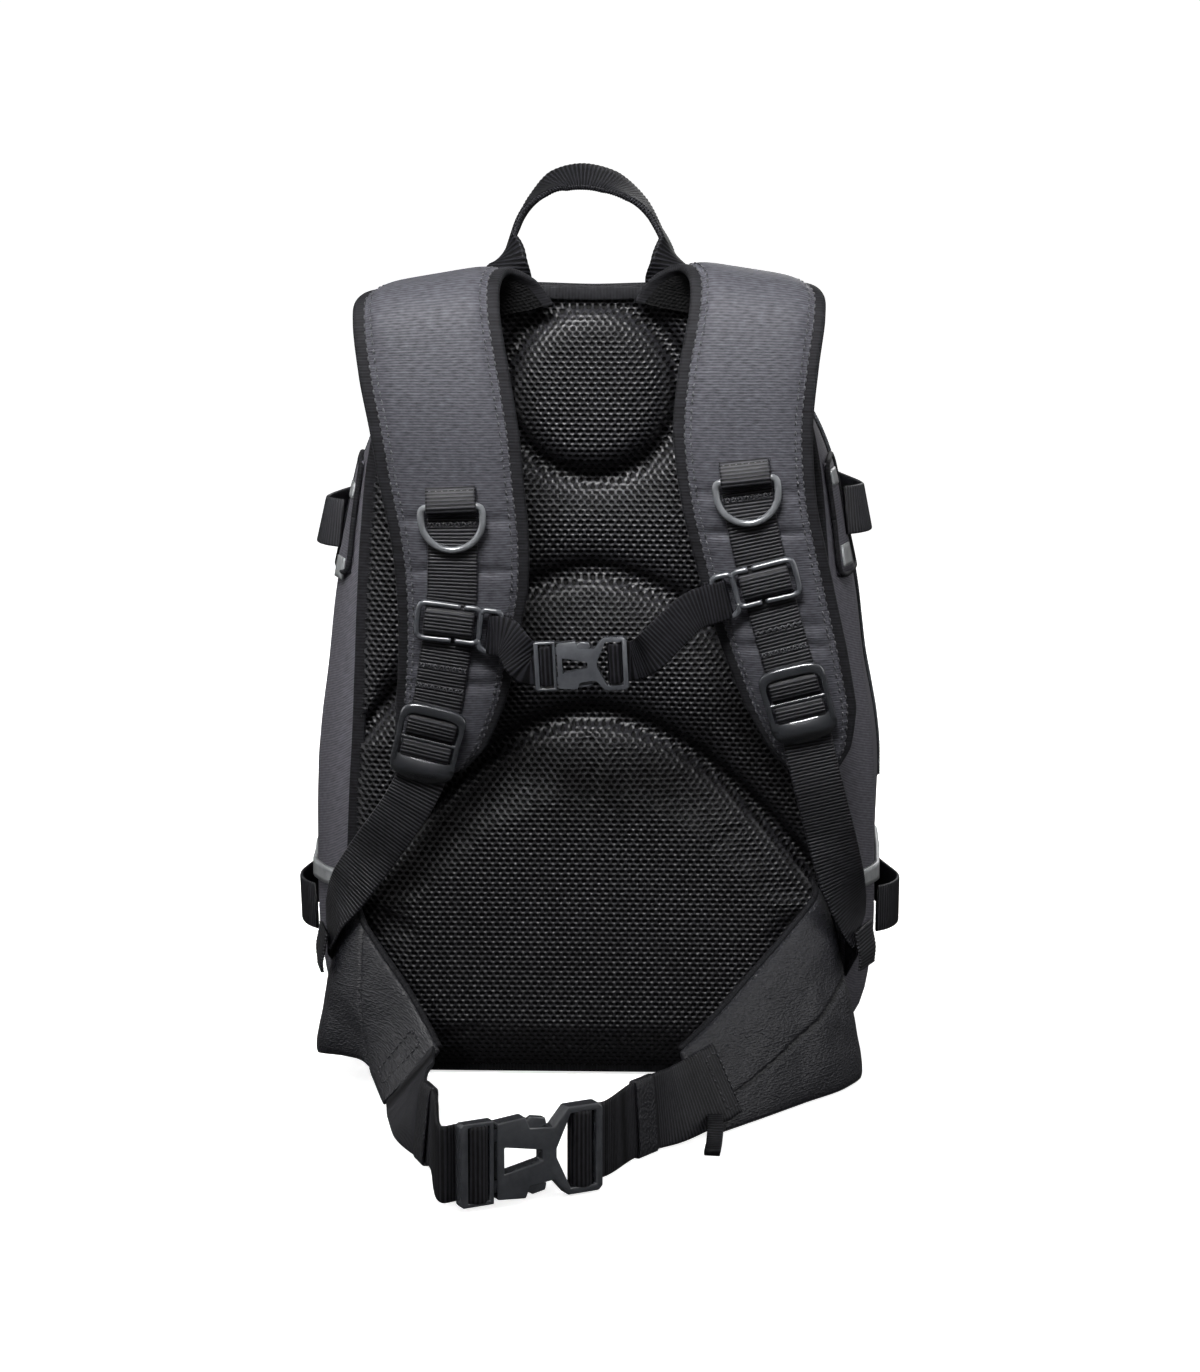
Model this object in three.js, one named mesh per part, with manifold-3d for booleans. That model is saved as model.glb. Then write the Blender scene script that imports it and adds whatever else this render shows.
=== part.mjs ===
// A ski touring backpack that stands on its sole with its hip belt fastened: a sewn bag with a
// padded mesh back, shoulder straps with their webbing and hardware, a carry handle and side straps.
// Millimetres, +Z up. The harness faces -Y, left is -X, and the origin is the middle of the sole.

import * as THREE from "three";
import { mergeVertices } from "three/addons/utils/BufferGeometryUtils.js";
import Module from "manifold-3d";

const wasm = await Module();
wasm.setup();

// Driving sizes
const GAP = 0.35; // clearance between pieces that touch
const WEBBING = { width: 25, thick: 1.6 }; // strap, handle and side webbing
const STERNUM = { width: 20, thick: 1.6 }; // sternum strap webbing
const BELT = { width: 35, thick: 2 }; // hip belt webbing
const BAG = { back: -85, depth: 170, wall: 2, sole: 3, lid: 26, slim: 0.3, slimFrom: 150 };
const PANEL = { base: 5, rows: 42, columns: 24, groove: 3.5, rounding: 17 };
const PAD_HEIGHT = { lumbar: 15, middle: 11, top: 13, field: 8 };
const TOP_PAD = { z: 359, radius: 45 };
const MIDDLE_ARCH = { crown: 266, drop: 9.5, at: 34, power: 1.75 };
const LUMBAR_ARCH = { crown: 192, drop: 11, at: 37, power: 1.78 };
const D_RING = { inside: 27, wire: 3.6, bend: 2, leg: 6.5, loop: 9, sides: 8 };
const SLIDER = { width: 34, height: 21, bar: 3.6, thick: 3.6, hook: 10, hookBar: 2.8, hookHeight: 26.5, hookDrop: 3 };
const LADDER = { width: 34, height: 41, corner: 8, bar: 3.4, thick: 4 };
const STERNUM_BUCKLE = { length: 46, height: 26, thick: 6 };
const HIP_BUCKLE = { length: 74, height: 43, thick: 8 };
const KEEPER = { length: 16, wall: 1.4, slack: 1.5 }; // cloth sleeve round the belt webbing
const PATCH = { low: 262, high: 320, from: -78, to: -36, thick: 1.6 }; // under the upper side straps
const SIDE_BAND = { low: 97, high: 106, from: -80, to: 60, thick: 2.4 }; // round the lower sides

const CLOTH = { color: 0x47464b, roughness: 0.85, metalness: 0 };
const PADDED = { color: 0x4c4b50, roughness: 0.85, metalness: 0 };
const MESH = { color: 0x2c2c2d, roughness: 0.9, metalness: 0 };
const WING = { color: 0x2e2e33, roughness: 0.7, metalness: 0 };
const WEB = { color: 0x2a2a28, roughness: 0.8, metalness: 0 };
const PLASTIC = { color: 0x3b3d3f, roughness: 0.45, metalness: 0 };
const RING = { color: 0x6c6e70, roughness: 0.4, metalness: 0 };
const LOCK = { color: 0x4a4b4e, roughness: 0.3, metalness: 0.4 };
const TRIM = { color: 0xa9abac, roughness: 0.5, metalness: 0 };

// Rows of numbers as objects with named columns
function table(columns, rows) {
  const names = columns.split(" ");
  return rows.map((row) => Object.fromEntries(names.map((name, i) => [name, row[i]])));
}

// The back panel's half outline, from the sole up, and how far the side bulges out behind it
const OUTLINE = table("z half bulge", [
  [3, 92, 0],
  [5, 106, 4],
  [13, 118, 10],
  [29, 125, 17],
  [60, 127, 21],
  [98, 126.5, 23],
  [148, 124.5, 25],
  [181, 122.5, 24.5],
  [214, 121, 20.5],
  [257, 119, 16.5],
  [286, 117, 12],
  [319, 113.5, 8],
  [345, 108, 4],
  [370, 99, 1],
  [390, 86, 0],
  [403, 69, 0],
  [409, 46, 0],
]);

// The bag from its back rim to its front: shares of the bulge, the sole's drop and the lid's slope
const DEPTHS = table("depth bulge sole lid shrink", [
  [0, 0, 0, 0, 0],
  [9, 0.45, 1, 0.05, 0],
  [30, 0.85, 1, 0.15, 0],
  [75, 1, 1, 0.4, 0],
  [118, 0.95, 1, 0.65, 0],
  [148, 0.7, 1, 0.85, 0.02],
  [164, 0.3, 0.8, 1, 0.07],
  [170, 0, 0.4, 1, 0.2],
]);

// Shoulder straps from the root at the panel's top, over the shoulder and down to the tip.
// The lane is how far the webbing on a strap lies beside the strap's middle.
const STRAP_LEFT = table("x y z width thick tilt lane", [
  [-48, -99.5, 396, 60, 6, 11, 0],
  [-60, -104, 408, 66, 8, 11, 0],
  [-74, -114, 414, 70, 10, 10, 0],
  [-80, -128, 410, 73, 11, 8, 0],
  [-80.3, -138, 399, 73, 11, 4, 0],
  [-75.5, -146, 368, 75, 11, 0, 0],
  [-71, -148, 343, 74, 11, 0, 0],
  [-67.8, -147, 318, 72, 11, 0, 0],
  [-64, -145, 290, 69, 11, 0, -3],
  [-63.1, -142, 264, 66, 11, 0, -5],
  [-65.5, -138, 238, 60, 11, 0, -5.5],
  [-70.8, -133, 207, 52, 10, 0, -5.5],
  [-77.5, -129, 182, 42, 9, 0, -5],
  [-81, -127, 168, 24, 7, 0, -4],
]);
const STRAP_RIGHT = table("x y z width thick tilt lane", [
  [50, -99.5, 398, 60, 6, -10, 0],
  [61, -104, 410, 64, 8, -10, 0],
  [75, -114, 417, 66, 10, -9, 0],
  [82, -128, 413, 67, 11, -7, 0],
  [82.6, -138, 402, 67, 11, -3, 0],
  [78.2, -146, 373, 69, 11, 0, 0],
  [75.9, -148, 344, 69, 11, 0, 0],
  [79.1, -147, 309, 67, 11, 0, 0],
  [83.3, -145, 289, 66.5, 11, 0, 0],
  [88.1, -142, 269, 66, 11, 0, 0],
  [97.5, -138, 234, 62.5, 11, 0, 0],
  [105.9, -133, 204, 56, 10, 0, 0],
  [110.5, -129, 183, 42, 9, 0, 0],
  [112.5, -127, 170, 24, 7, 0, 0],
]);
// A padded strap's section, as shares of its half width and half thickness
const STRAP_SECTION = table("across out", [
  [-1, -0.35],
  [-1, 0.35],
  [-0.86, 0.5],
  [-0.74, 1],
  [0, 1],
  [0.74, 1],
  [0.86, 0.5],
  [1, 0.35],
  [1, -0.35],
  [0.74, -1],
  [0, -1],
  [-0.74, -1],
]);

// The carry handle, with the direction of its width: flat at the feet and turned over the hand
const HANDLE = table("x y z ax ay az", [
  [-44, -73, 403, 1, 0, 0],
  [-44, -72.5, 413, 1, 0, 0],
  [-43.5, -71, 424, 0.9, -0.4, 0],
  [-43, -66, 434, 0.45, -0.9, 0],
  [-39.5, -59, 444, 0.1, -1, -0.15],
  [-31, -51, 454, 0, -0.93, -0.36],
  [-19.5, -46, 461, 0, -0.9, -0.43],
  [-7, -44, 463.5, 0, -0.9, -0.43],
  [7.5, -45, 461, 0, -0.9, -0.43],
  [21.5, -50, 452.5, 0, -0.93, -0.36],
  [32, -58, 441.5, -0.1, -1, -0.15],
  [37.5, -66, 431, -0.45, -0.9, 0],
  [38.5, -71, 422, -0.9, -0.4, 0],
  [38.5, -72.5, 412, -1, 0, 0],
  [38.5, -73, 403, -1, 0, 0],
]);

// Hip belt wings as pairs of points, on the lower and on the upper edge
const WING_LEFT = table("x y z topX topY topZ thick", [
  [-122, -90, 14, -113, -90, 108, 5],
  [-141, -94, 12, -121, -100, 101, 5],
  [-142, -109, 10, -118, -113, 88, 5],
  [-127, -126, 8, -106, -127, 73, 5],
  [-111, -144, 6, -91, -142, 56, 5],
  [-101, -165, 4, -74, -160, 31, 4],
]);
const WING_RIGHT = table("x y z topX topY topZ thick", [
  [122, -90, 6, 111, -90, 108, 5],
  [139, -96, 3, 115, -101, 100, 5],
  [131, -119, 2, 103, -120, 87, 5],
  [109, -147, 2, 85, -145, 72, 5],
  [87, -175, 2, 65, -171, 55, 5],
  [65, -202, 2, 46, -196, 42, 4],
]);
// Hip belt webbing, with the direction of its width
const HIP_WEBBING_LEFT = table("x y z ax ay az", [
  [-87.6, -165.7, 17.5, 27, 5, 27],
  [-87.5, -184, 18, 23, 10, 30],
  [-85, -212, 19, 15, 12, 33],
  [-79, -238, 20.5, 6, 5, 36],
  [-70.5, -264, 22, 2, 2, 37],
]);
const HIP_WEBBING_RIGHT = table("x y z ax ay az", [
  [54.9, -202.7, 21, -17, 6, 38],
  [46, -215, 21.3, -9, 4, 37],
  [36, -228, 21.7, -4, 2, 37],
  [25, -246, 22.2, -2, 1, 37],
]);
const HIP_BUCKLE_ENDS = { left: [-54, -323, 22.8], right: [10, -286, 22.8] };
const STERNUM_BUCKLE_ENDS = { left: [-26, -165, 229.5], right: [20, -166, 232] };
const HIP_KEEPERS = { left: [3, 0.5], right: [2, 0.55] }; // belt stretch, and the share along it
const HIP_TAIL = table("x y z ax ay az", [
  [64.2, -205.6, 12, 1, 0, 0],
  [64.5, -213, 9.5, 1, 0, 0],
  [64, -222, 4.5, 1, 0, 0],
  [63, -232, 2, 1, 0, 0],
]);
const TAIL = { width: 8, thick: 3.2 };

// Lower strap webbing from the strap's tip to its sewn tab, with the direction of its width
const ADJUSTER_LEFT = table("x y z ax ay az", [
  [-93, -130, 151, 0.88, 0, -0.48],
  [-110, -123, 126, 0.8, -0.1, -0.57],
  [-123.5, -116, 106, 0.65, -0.35, -0.6],
  [-132, -108, 91, 0.4, -0.75, -0.4],
  [-136.5, -99, 77, 0.2, -0.95, -0.2],
]);
const ADJUSTER_RIGHT = table("x y z ax ay az", [
  [116, -130, 160, 0.98, 0, 0.2],
  [121.5, -124, 138, 0.97, 0, 0.24],
  [127.5, -117, 114, 0.9, 0.3, 0.25],
  [133, -108, 95, 0.65, 0.7, 0.2],
  [137.5, -98, 80, 0.35, 0.95, 0.1],
]);
// Sewn tabs behind the webbing's end: reach to the bag's side, drop and height there, lean of the end
const TAB = { reach: 18, drop: 12, height: 34, thick: 2.4, below: 12, above: 8, lean: 0.22 };

// Sternum webbing between the sliders and the buckle
const STERNUM_LEFT = table("x y z ax ay az", [
  [-40, -156, 237, 0.12, 0, 1],
  [-34, -161, 232.5, 0.1, 0, 1],
]);
const STERNUM_RIGHT = table("x y z ax ay az", [
  [52, -162, 257, -0.4, 0, 1],
  [42, -168, 249, -0.5, 0, 1],
  [31, -170, 238, -0.3, 0, 1],
]);

// Side straps: height, how far they stand off the side, what lies under their start, and their
// start and end in depth
const SIDE_STRAPS = table("name sign z stand over from to", [
  ["compression_upper_left", -1, 285, 11.5, 2, -58, 38],
  ["compression_upper_right", 1, 293, 11.5, 2, -58, 38],
  ["compression_lower_left", -1, 79, 9, 0, -50, 58],
  ["compression_lower_right", 1, 80, 11, 0, -50, 58],
]);

// Interpolate a column of a table by another column that grows
function lookup(rows, key, value, column) {
  const last = rows.length - 2;
  const found = rows.findIndex((row, i) => i <= last && value <= rows[i + 1][key]);
  const i = found < 0 ? last : found;
  const share = (value - rows[i][key]) / (rows[i + 1][key] - rows[i][key]);
  return THREE.MathUtils.lerp(rows[i][column], rows[i + 1][column], THREE.MathUtils.clamp(share, 0, 1));
}

// A closed body through sections of equal point counts. Its ends are closed by fans, or by strips
// across mirrored sections, or joined to each other as a ring.
function loft(sections, ends = "fans") {
  const count = sections[0].length;
  const points = sections.flat();
  const faces = [];
  const bands = ends === "ring" ? sections.length : sections.length - 1;
  for (let i = 0; i < bands; i += 1) {
    const next = (i + 1) % sections.length;
    for (let j = 0; j < count; j += 1) {
      const k = (j + 1) % count;
      faces.push([i * count + j, i * count + k, next * count + k]);
      faces.push([i * count + j, next * count + k, next * count + j]);
    }
  }
  const caps = ends === "ring" ? [] : [[0, false], [(sections.length - 1) * count, true]];
  for (const [start, forward] of caps) {
    const cap = ends === "strips" ? stripCap(start, count) : fanCap(points, start, count);
    faces.push(...cap.map(([a, b, c]) => (forward ? [a, b, c] : [a, c, b])));
  }
  return facingOut(points, faces);
}

// Faces from a new middle point to a section's edges
function fanCap(points, start, count) {
  const hub = points.length;
  const rim = points.slice(start, start + count);
  points.push(rim.reduce((sum, p) => sum.add(p), new THREE.Vector3()).divideScalar(count));
  return rim.map((_, j) => [hub, start + j, start + ((j + 1) % count)]);
}

// Faces straight across a section whose second half mirrors its first
function stripCap(start, count) {
  return Array.from({ length: count / 2 - 1 }, (_, j) => {
    const far = start + count - 1 - j;
    return [[start + j, start + j + 1, far - 1], [start + j, far - 1, far]];
  }).flat();
}

// Geometry from points and faces, turned over if its faces point inwards
function facingOut(points, faces) {
  const volume = faces.reduce((sum, [a, b, c]) => {
    return sum + points[a].dot(new THREE.Vector3().crossVectors(points[b], points[c]));
  }, 0);
  const ordered = volume < 0 ? faces.map(([a, b, c]) => [a, c, b]) : faces;
  const geometry = new THREE.BufferGeometry().setFromPoints(points);
  geometry.setIndex(ordered.flat());
  return geometry;
}

// Solids for the cuts and joins
function solid(geometry) {
  const plain = geometry.clone();
  plain.deleteAttribute("normal");
  plain.deleteAttribute("uv");
  const merged = mergeVertices(plain, 1e-3);
  const vertProperties = new Float32Array(merged.attributes.position.array);
  const triVerts = new Uint32Array(merged.index.array);
  return new wasm.Manifold(new wasm.Mesh({ numProp: 3, vertProperties, triVerts }));
}

function geometryOf(body) {
  const mesh = body.getMesh();
  const geometry = new THREE.BufferGeometry();
  geometry.setAttribute("position", new THREE.BufferAttribute(mesh.vertProperties, 3));
  geometry.setIndex(new THREE.BufferAttribute(mesh.triVerts, 1));
  return geometry;
}

// Trim a piece where it would enter its seat, leaving the clearance along the way it is moved off
function seated(geometry, seat, x, y, z) {
  return geometryOf(solid(geometry).subtract(solid(seat).translate([x, y, z])));
}

const bag = new THREE.Group();

function add(name, geometry, finish, parent = bag) {
  const mesh = new THREE.Mesh(geometry, new THREE.MeshStandardMaterial(finish));
  mesh.name = name;
  parent.add(mesh);
}

// A group with its own directions, whose pieces are modelled about its origin
function frameAt(position, across, up, out) {
  const place = new THREE.Group();
  place.position.copy(position);
  place.quaternion.setFromRotationMatrix(new THREE.Matrix4().makeBasis(across, up, out));
  place.updateMatrixWorld(true);
  bag.add(place);
  return place;
}

// A flat plate with windows, its thickness centred on z = 0
function plate(outline, windows, thick) {
  const turnsRight = THREE.ShapeUtils.isClockWise(outline);
  const shape = new THREE.Shape(turnsRight ? [...outline].reverse() : outline);
  shape.holes = windows.map((window) => new THREE.Path(window));
  const geometry = new THREE.ExtrudeGeometry(shape, { depth: thick, bevelEnabled: false });
  return geometry.translate(0, 0, -thick / 2);
}

// Outline of a box with rounded corners
function roundedBox(left, right, bottom, top, corner, steps = 3) {
  const centres = [
    [right - corner, top - corner],
    [left + corner, top - corner],
    [left + corner, bottom + corner],
    [right - corner, bottom + corner],
  ];
  return centres.flatMap(([x, y], quarter) => {
    return Array.from({ length: steps + 1 }, (_, i) => {
      const angle = (quarter + i / steps) * (Math.PI / 2);
      return new THREE.Vector2(x + corner * Math.cos(angle), y + corner * Math.sin(angle));
    });
  });
}

const vector = (row) => new THREE.Vector3(row.x, row.y, row.z);
const widthWay = (row) => new THREE.Vector3(row.ax, row.ay, row.az).normalize();
const stationsOf = (rows) => rows.map((row) => ({ at: vector(row), across: widthWay(row) }));

// Webbing along stations that give a point and the direction of the width
function ribbon(stations, { width, thick }, steps = 1) {
  const line = new THREE.CatmullRomCurve3(stations.map((s) => s.at), false, "centripetal");
  const count = (stations.length - 1) * steps;
  const sections = Array.from({ length: count + 1 }, (_, i) => {
    const place = i / steps;
    const row = Math.min(Math.floor(place), stations.length - 2);
    const across = stations[row].across.clone().lerp(stations[row + 1].across, place - row);
    const along = line.getTangent(i / count);
    across.addScaledVector(along, -across.dot(along)).setLength(width / 2);
    const out = new THREE.Vector3().crossVectors(along, across).setLength(thick / 2);
    const at = line.getPoint(i / count);
    return [[1, 1], [-1, 1], [-1, -1], [1, -1]].map(([a, o]) => {
      return at.clone().addScaledVector(across, a).addScaledVector(out, o);
    });
  });
  return loft(sections);
}

// Cloth between a lower and an upper edge line, with a soft swell at mid height
function cloth(rows, steps, swell = 0) {
  const lower = new THREE.CatmullRomCurve3(rows.map(vector), false, "centripetal");
  const upperPoints = rows.map((row) => new THREE.Vector3(row.topX, row.topY, row.topZ));
  const upper = new THREE.CatmullRomCurve3(upperPoints, false, "centripetal");
  const count = (rows.length - 1) * steps;
  const heights = swell === 0 ? [0, 1] : [0, 0.25, 0.5, 0.75, 1];
  const sections = Array.from({ length: count + 1 }, (_, i) => {
    const share = i / count;
    const foot = lower.getPoint(share);
    const head = upper.getPoint(share);
    const up = head.clone().sub(foot).normalize();
    const along = lower.getTangent(share).add(upper.getTangent(share)).normalize();
    const out = new THREE.Vector3().crossVectors(along, up).normalize();
    const row = Math.min(Math.floor(i / steps), rows.length - 2);
    const thick = THREE.MathUtils.lerp(rows[row].thick, rows[row + 1].thick, i / steps - row);
    const side = (offset) => heights.map((height) => {
      const rise = swell * Math.sin(Math.PI * height) * Math.sin(Math.PI * share);
      return foot.clone().lerp(head, height).addScaledVector(out, offset + rise);
    });
    return [...side(thick / 2), ...side(-thick / 2).reverse()];
  });
  return loft(sections);
}

// Bag outline at a height, and the slimmer depth towards the top
const soleZ = OUTLINE[0].z;
const topZ = OUTLINE[OUTLINE.length - 1].z;
const halfWidth = (z) => lookup(OUTLINE, "z", z, "half");
const depthShare = (z) => 1 - BAG.slim * THREE.MathUtils.smoothstep(z, BAG.slimFrom, topZ);

// Outer half width of the bag's side at a depth and a height
function sideX(y, z) {
  const depth = (y - BAG.back) / depthShare(z);
  const bulge = lookup(OUTLINE, "z", z, "bulge") * lookup(DEPTHS, "depth", depth, "bulge");
  return (halfWidth(z) + bulge) * (1 - lookup(DEPTHS, "depth", depth, "shrink"));
}

// One ring of the bag's wall round the bag, pulled in by an inset
function bagRing(depths, inset) {
  const middle = (soleZ + topZ) / 2;
  const right = OUTLINE.map((row) => {
    const low = Math.max(0, 1 - (row.z - soleZ) / 25);
    const high = THREE.MathUtils.smoothstep(row.z, 290, topZ);
    const x = (row.half + row.bulge * depths.bulge) * (1 - depths.shrink);
    const z = row.z - BAG.sole * depths.sole * low - BAG.lid * depths.lid * high;
    const y = BAG.back + depths.depth * depthShare(row.z) * (1 - inset / BAG.depth);
    return new THREE.Vector3(x, y, middle + (z - middle) * (1 - depths.shrink));
  });
  const ring = [...right, ...right.map((p) => new THREE.Vector3(-p.x, p.y, p.z)).reverse()];
  return ring.map((point, i) => {
    const ahead = ring[(i + 1) % ring.length];
    const behind = ring[(i + ring.length - 1) % ring.length];
    const edge = new THREE.Vector2(ahead.x - behind.x, ahead.z - behind.z).normalize();
    return new THREE.Vector3(point.x - edge.y * inset, point.y, point.z + edge.x * inset);
  });
}

const outerRings = () => DEPTHS.map((row) => bagRing(row, 0)).reverse();

function bagShell() {
  const inner = DEPTHS.map((row) => bagRing(row, BAG.wall));
  return loft([...outerRings(), ...inner], "strips");
}

// The same bag without its hollow, for trimming what is sewn onto it
function bagBody() {
  return loft(outerRings(), "strips");
}

// A pad's round shoulder, growing from its groove to its full height
function pillow(distance, height) {
  const share = THREE.MathUtils.clamp((distance - PANEL.groove) / PANEL.rounding, 0, 1);
  return height * Math.sqrt(1 - (1 - share) ** 2);
}

// How far a point lies above an arched groove
function aboveArch(arch, x, z) {
  return 0.85 * (z - arch.crown + arch.drop * (Math.abs(x) / arch.at) ** arch.power);
}

function padHeight(x, z) {
  const edge = Math.min(halfWidth(z) - Math.abs(x), z - soleZ, topZ - z) + PANEL.groove;
  const upper = aboveArch(MIDDLE_ARCH, x, z);
  const lower = aboveArch(LUMBAR_ARCH, x, z);
  const round = TOP_PAD.radius - Math.hypot(x, z - TOP_PAD.z);
  if (lower < 0) {
    return pillow(Math.min(-lower, edge), PAD_HEIGHT.lumbar);
  }
  if (upper < 0) {
    return pillow(Math.min(-upper, lower, edge), PAD_HEIGHT.middle);
  }
  if (round > 0) {
    return pillow(Math.min(round, edge), PAD_HEIGHT.top);
  }
  return pillow(Math.min(upper, -round, edge), PAD_HEIGHT.field);
}

function backPanel() {
  const behind = BAG.back - GAP;
  const sections = Array.from({ length: PANEL.rows + 1 }, (_, i) => {
    const z = THREE.MathUtils.lerp(soleZ, topZ, i / PANEL.rows);
    const half = halfWidth(z);
    const front = Array.from({ length: PANEL.columns + 1 }, (_, j) => {
      const x = half * (1 - (2 * j) / PANEL.columns);
      return new THREE.Vector3(x, behind - PANEL.base - padHeight(x, z), z);
    });
    return [new THREE.Vector3(-half, behind, z), new THREE.Vector3(half, behind, z), ...front];
  });
  return loft(sections);
}

// A padded strap's centre line, with its size and its directions along the way
function strapLine(rows) {
  const line = new THREE.CatmullRomCurve3(rows.map(vector), false, "centripetal");
  const spans = rows.length - 1;
  const frame = (share) => {
    const i = Math.min(Math.floor(share * spans), spans - 1);
    const mix = (column) => THREE.MathUtils.lerp(rows[i][column], rows[i + 1][column], share * spans - i);
    const tilt = THREE.MathUtils.degToRad(mix("tilt"));
    const along = line.getTangent(share);
    const across = new THREE.Vector3(Math.cos(tilt), 0, Math.sin(tilt));
    const out = new THREE.Vector3().crossVectors(along, across).normalize();
    const face = line.getPoint(share).addScaledVector(out, mix("thick") / 2);
    face.addScaledVector(across, mix("lane"));
    return { at: line.getPoint(share), face, along, across, out, width: mix("width"), thick: mix("thick") };
  };
  return { frame, spans };
}

function paddedStrap(strap, steps) {
  const count = strap.spans * steps;
  const sections = Array.from({ length: count + 1 }, (_, i) => {
    const { at, across, out, width, thick } = strap.frame(i / count);
    return STRAP_SECTION.map((corner) => {
      return at.clone()
        .addScaledVector(across, (corner.across * width) / 2)
        .addScaledVector(out, (corner.out * thick) / 2);
    });
  });
  return loft(sections);
}

// The frame where a strap's front run passes a height
function strapAtHeight(strap, z) {
  let low = 0.3;
  let high = 1;
  for (let i = 0; i < 40; i += 1) {
    const middle = (low + high) / 2;
    if (strap.frame(middle).at.z > z) {
      low = middle;
    } else {
      high = middle;
    }
  }
  return strap.frame(high);
}

// A group on a strap's outer face: x across, y up along the webbing's lane, z out of the face
function onStrap(strap, z) {
  const step = 6;
  const middle = strapAtHeight(strap, z);
  const up = strapAtHeight(strap, z + step).face.sub(strapAtHeight(strap, z - step).face).normalize();
  const out = middle.out.clone().addScaledVector(up, -middle.out.dot(up)).normalize();
  return frameAt(middle.face, new THREE.Vector3().crossVectors(up, out), up, out);
}

// Webbing stations from steps up a group's y and lifts off its face
function liftedStations(place, lifts) {
  const across = new THREE.Vector3(1, 0, 0).applyQuaternion(place.quaternion);
  return lifts.map(([up, lift]) => {
    const local = new THREE.Vector3(0, up, 2 * GAP + WEBBING.thick / 2 + lift);
    return { at: local.applyMatrix4(place.matrixWorld), across };
  });
}

// Webbing stations that lie on the strap at given heights
function laidStations(strap, place, heights) {
  const across = new THREE.Vector3(1, 0, 0).applyQuaternion(place.quaternion);
  return heights.map((z) => {
    const { face, out } = strapAtHeight(strap, z);
    return { at: face.clone().addScaledVector(out, 2 * GAP + WEBBING.thick / 2), across };
  });
}

// The webbing's rise through a window, as steps up the strap and lifts
function hump(middle, reach, lift) {
  const shape = [[1, 0], [0.74, 0.5], [0.42, 0.9], [0, 1], [-0.42, 0.9], [-0.74, 0.5], [-1, 0]];
  return shape.map(([step, rise]) => [middle + step * reach, rise * lift]);
}

// D-ring in a sewn loop of webbing
const ringBarHeight = GAP + WEBBING.thick + 1.5 * GAP + D_RING.wire / 2;

function ringLoop() {
  const around = ringBarHeight - GAP;
  const outline = [new THREE.Vector2(D_RING.loop, GAP)];
  const steps = 8;
  for (let i = 0; i <= steps; i += 1) {
    const angle = -Math.PI / 2 - (Math.PI * i) / steps;
    outline.push(new THREE.Vector2(around * Math.cos(angle), ringBarHeight + around * Math.sin(angle)));
  }
  outline.push(new THREE.Vector2(D_RING.loop, GAP + 2 * WEBBING.thick));
  const bore = D_RING.wire / 2 + 1.5 * GAP;
  const hole = Array.from({ length: 12 }, (_, i) => {
    const angle = (i / 12) * 2 * Math.PI;
    return new THREE.Vector2(bore * Math.cos(angle), ringBarHeight + bore * Math.sin(angle));
  });
  const sideways = new THREE.Matrix4().makeBasis(
    new THREE.Vector3(0, 1, 0), new THREE.Vector3(0, 0, 1), new THREE.Vector3(1, 0, 0));
  return plate(outline, [hole], WEBBING.width).applyMatrix4(sideways);
}

// The ring's centre line: a straight bar, two short legs and a half circle
function dRingLine() {
  const radius = (D_RING.inside + D_RING.wire) / 2;
  const { bend, leg } = D_RING;
  const line = new THREE.Path();
  line.moveTo(bend - radius, 0);
  line.lineTo(radius - bend, 0);
  line.quadraticCurveTo(radius, 0, radius, -bend);
  line.lineTo(radius, -leg);
  line.absarc(0, -leg, radius, 0, -Math.PI, true);
  line.lineTo(-radius, -bend);
  line.quadraticCurveTo(-radius, 0, bend - radius, 0);
  const divisions = 5;
  return line.getPoints(divisions).slice(0, -1).map((p) => new THREE.Vector3(p.x, p.y, ringBarHeight));
}

function dRing() {
  const points = dRingLine();
  const normal = new THREE.Vector3(0, 0, 1);
  const sections = points.map((point, i) => {
    const ahead = points[(i + 1) % points.length];
    const behind = points[(i + points.length - 1) % points.length];
    const away = new THREE.Vector3().crossVectors(ahead.clone().sub(behind), normal).normalize();
    return Array.from({ length: D_RING.sides }, (_, j) => {
      const angle = ((j + 0.5) / D_RING.sides) * 2 * Math.PI;
      return point.clone()
        .addScaledVector(away, (Math.cos(angle) * D_RING.wire) / 2)
        .addScaledVector(normal, (Math.sin(angle) * D_RING.wire) / 2);
    });
  });
  return loft(sections, "ring");
}

// Sternum strap slider: a frame clipped over the strap's webbing, with a side loop for its own webbing
const sliderHeight = 3 * GAP + WEBBING.thick + SLIDER.thick / 2;

function sternumSlider(sign) {
  const { width, height, bar, hook, hookBar, hookHeight, hookDrop, thick } = SLIDER;
  const side = width / 2;
  const top = height / 2;
  const window = roundedBox(bar - side, side - bar, bar - top, top - bar, 1.5);
  const frame = plate(roundedBox(-side, side, -top, top, 2.5), [window], thick);
  const loopTop = hookHeight / 2 - hookDrop;
  const loopBottom = -hookHeight / 2 - hookDrop;
  const slot = roundedBox(side, side + hook - hookBar, loopBottom + hookBar, loopTop - hookBar, 1.5);
  const loop = plate(roundedBox(side - bar, side + hook, loopBottom, loopTop, 3), [slot], thick);
  const body = solid(frame).add(solid(loop)).subtract(solid(plate(window, [], 2 * thick)));
  const turned = sign > 0 ? body.mirror([1, 0, 0]) : body;
  return geometryOf(turned).translate(0, 0, sliderHeight);
}

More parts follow.
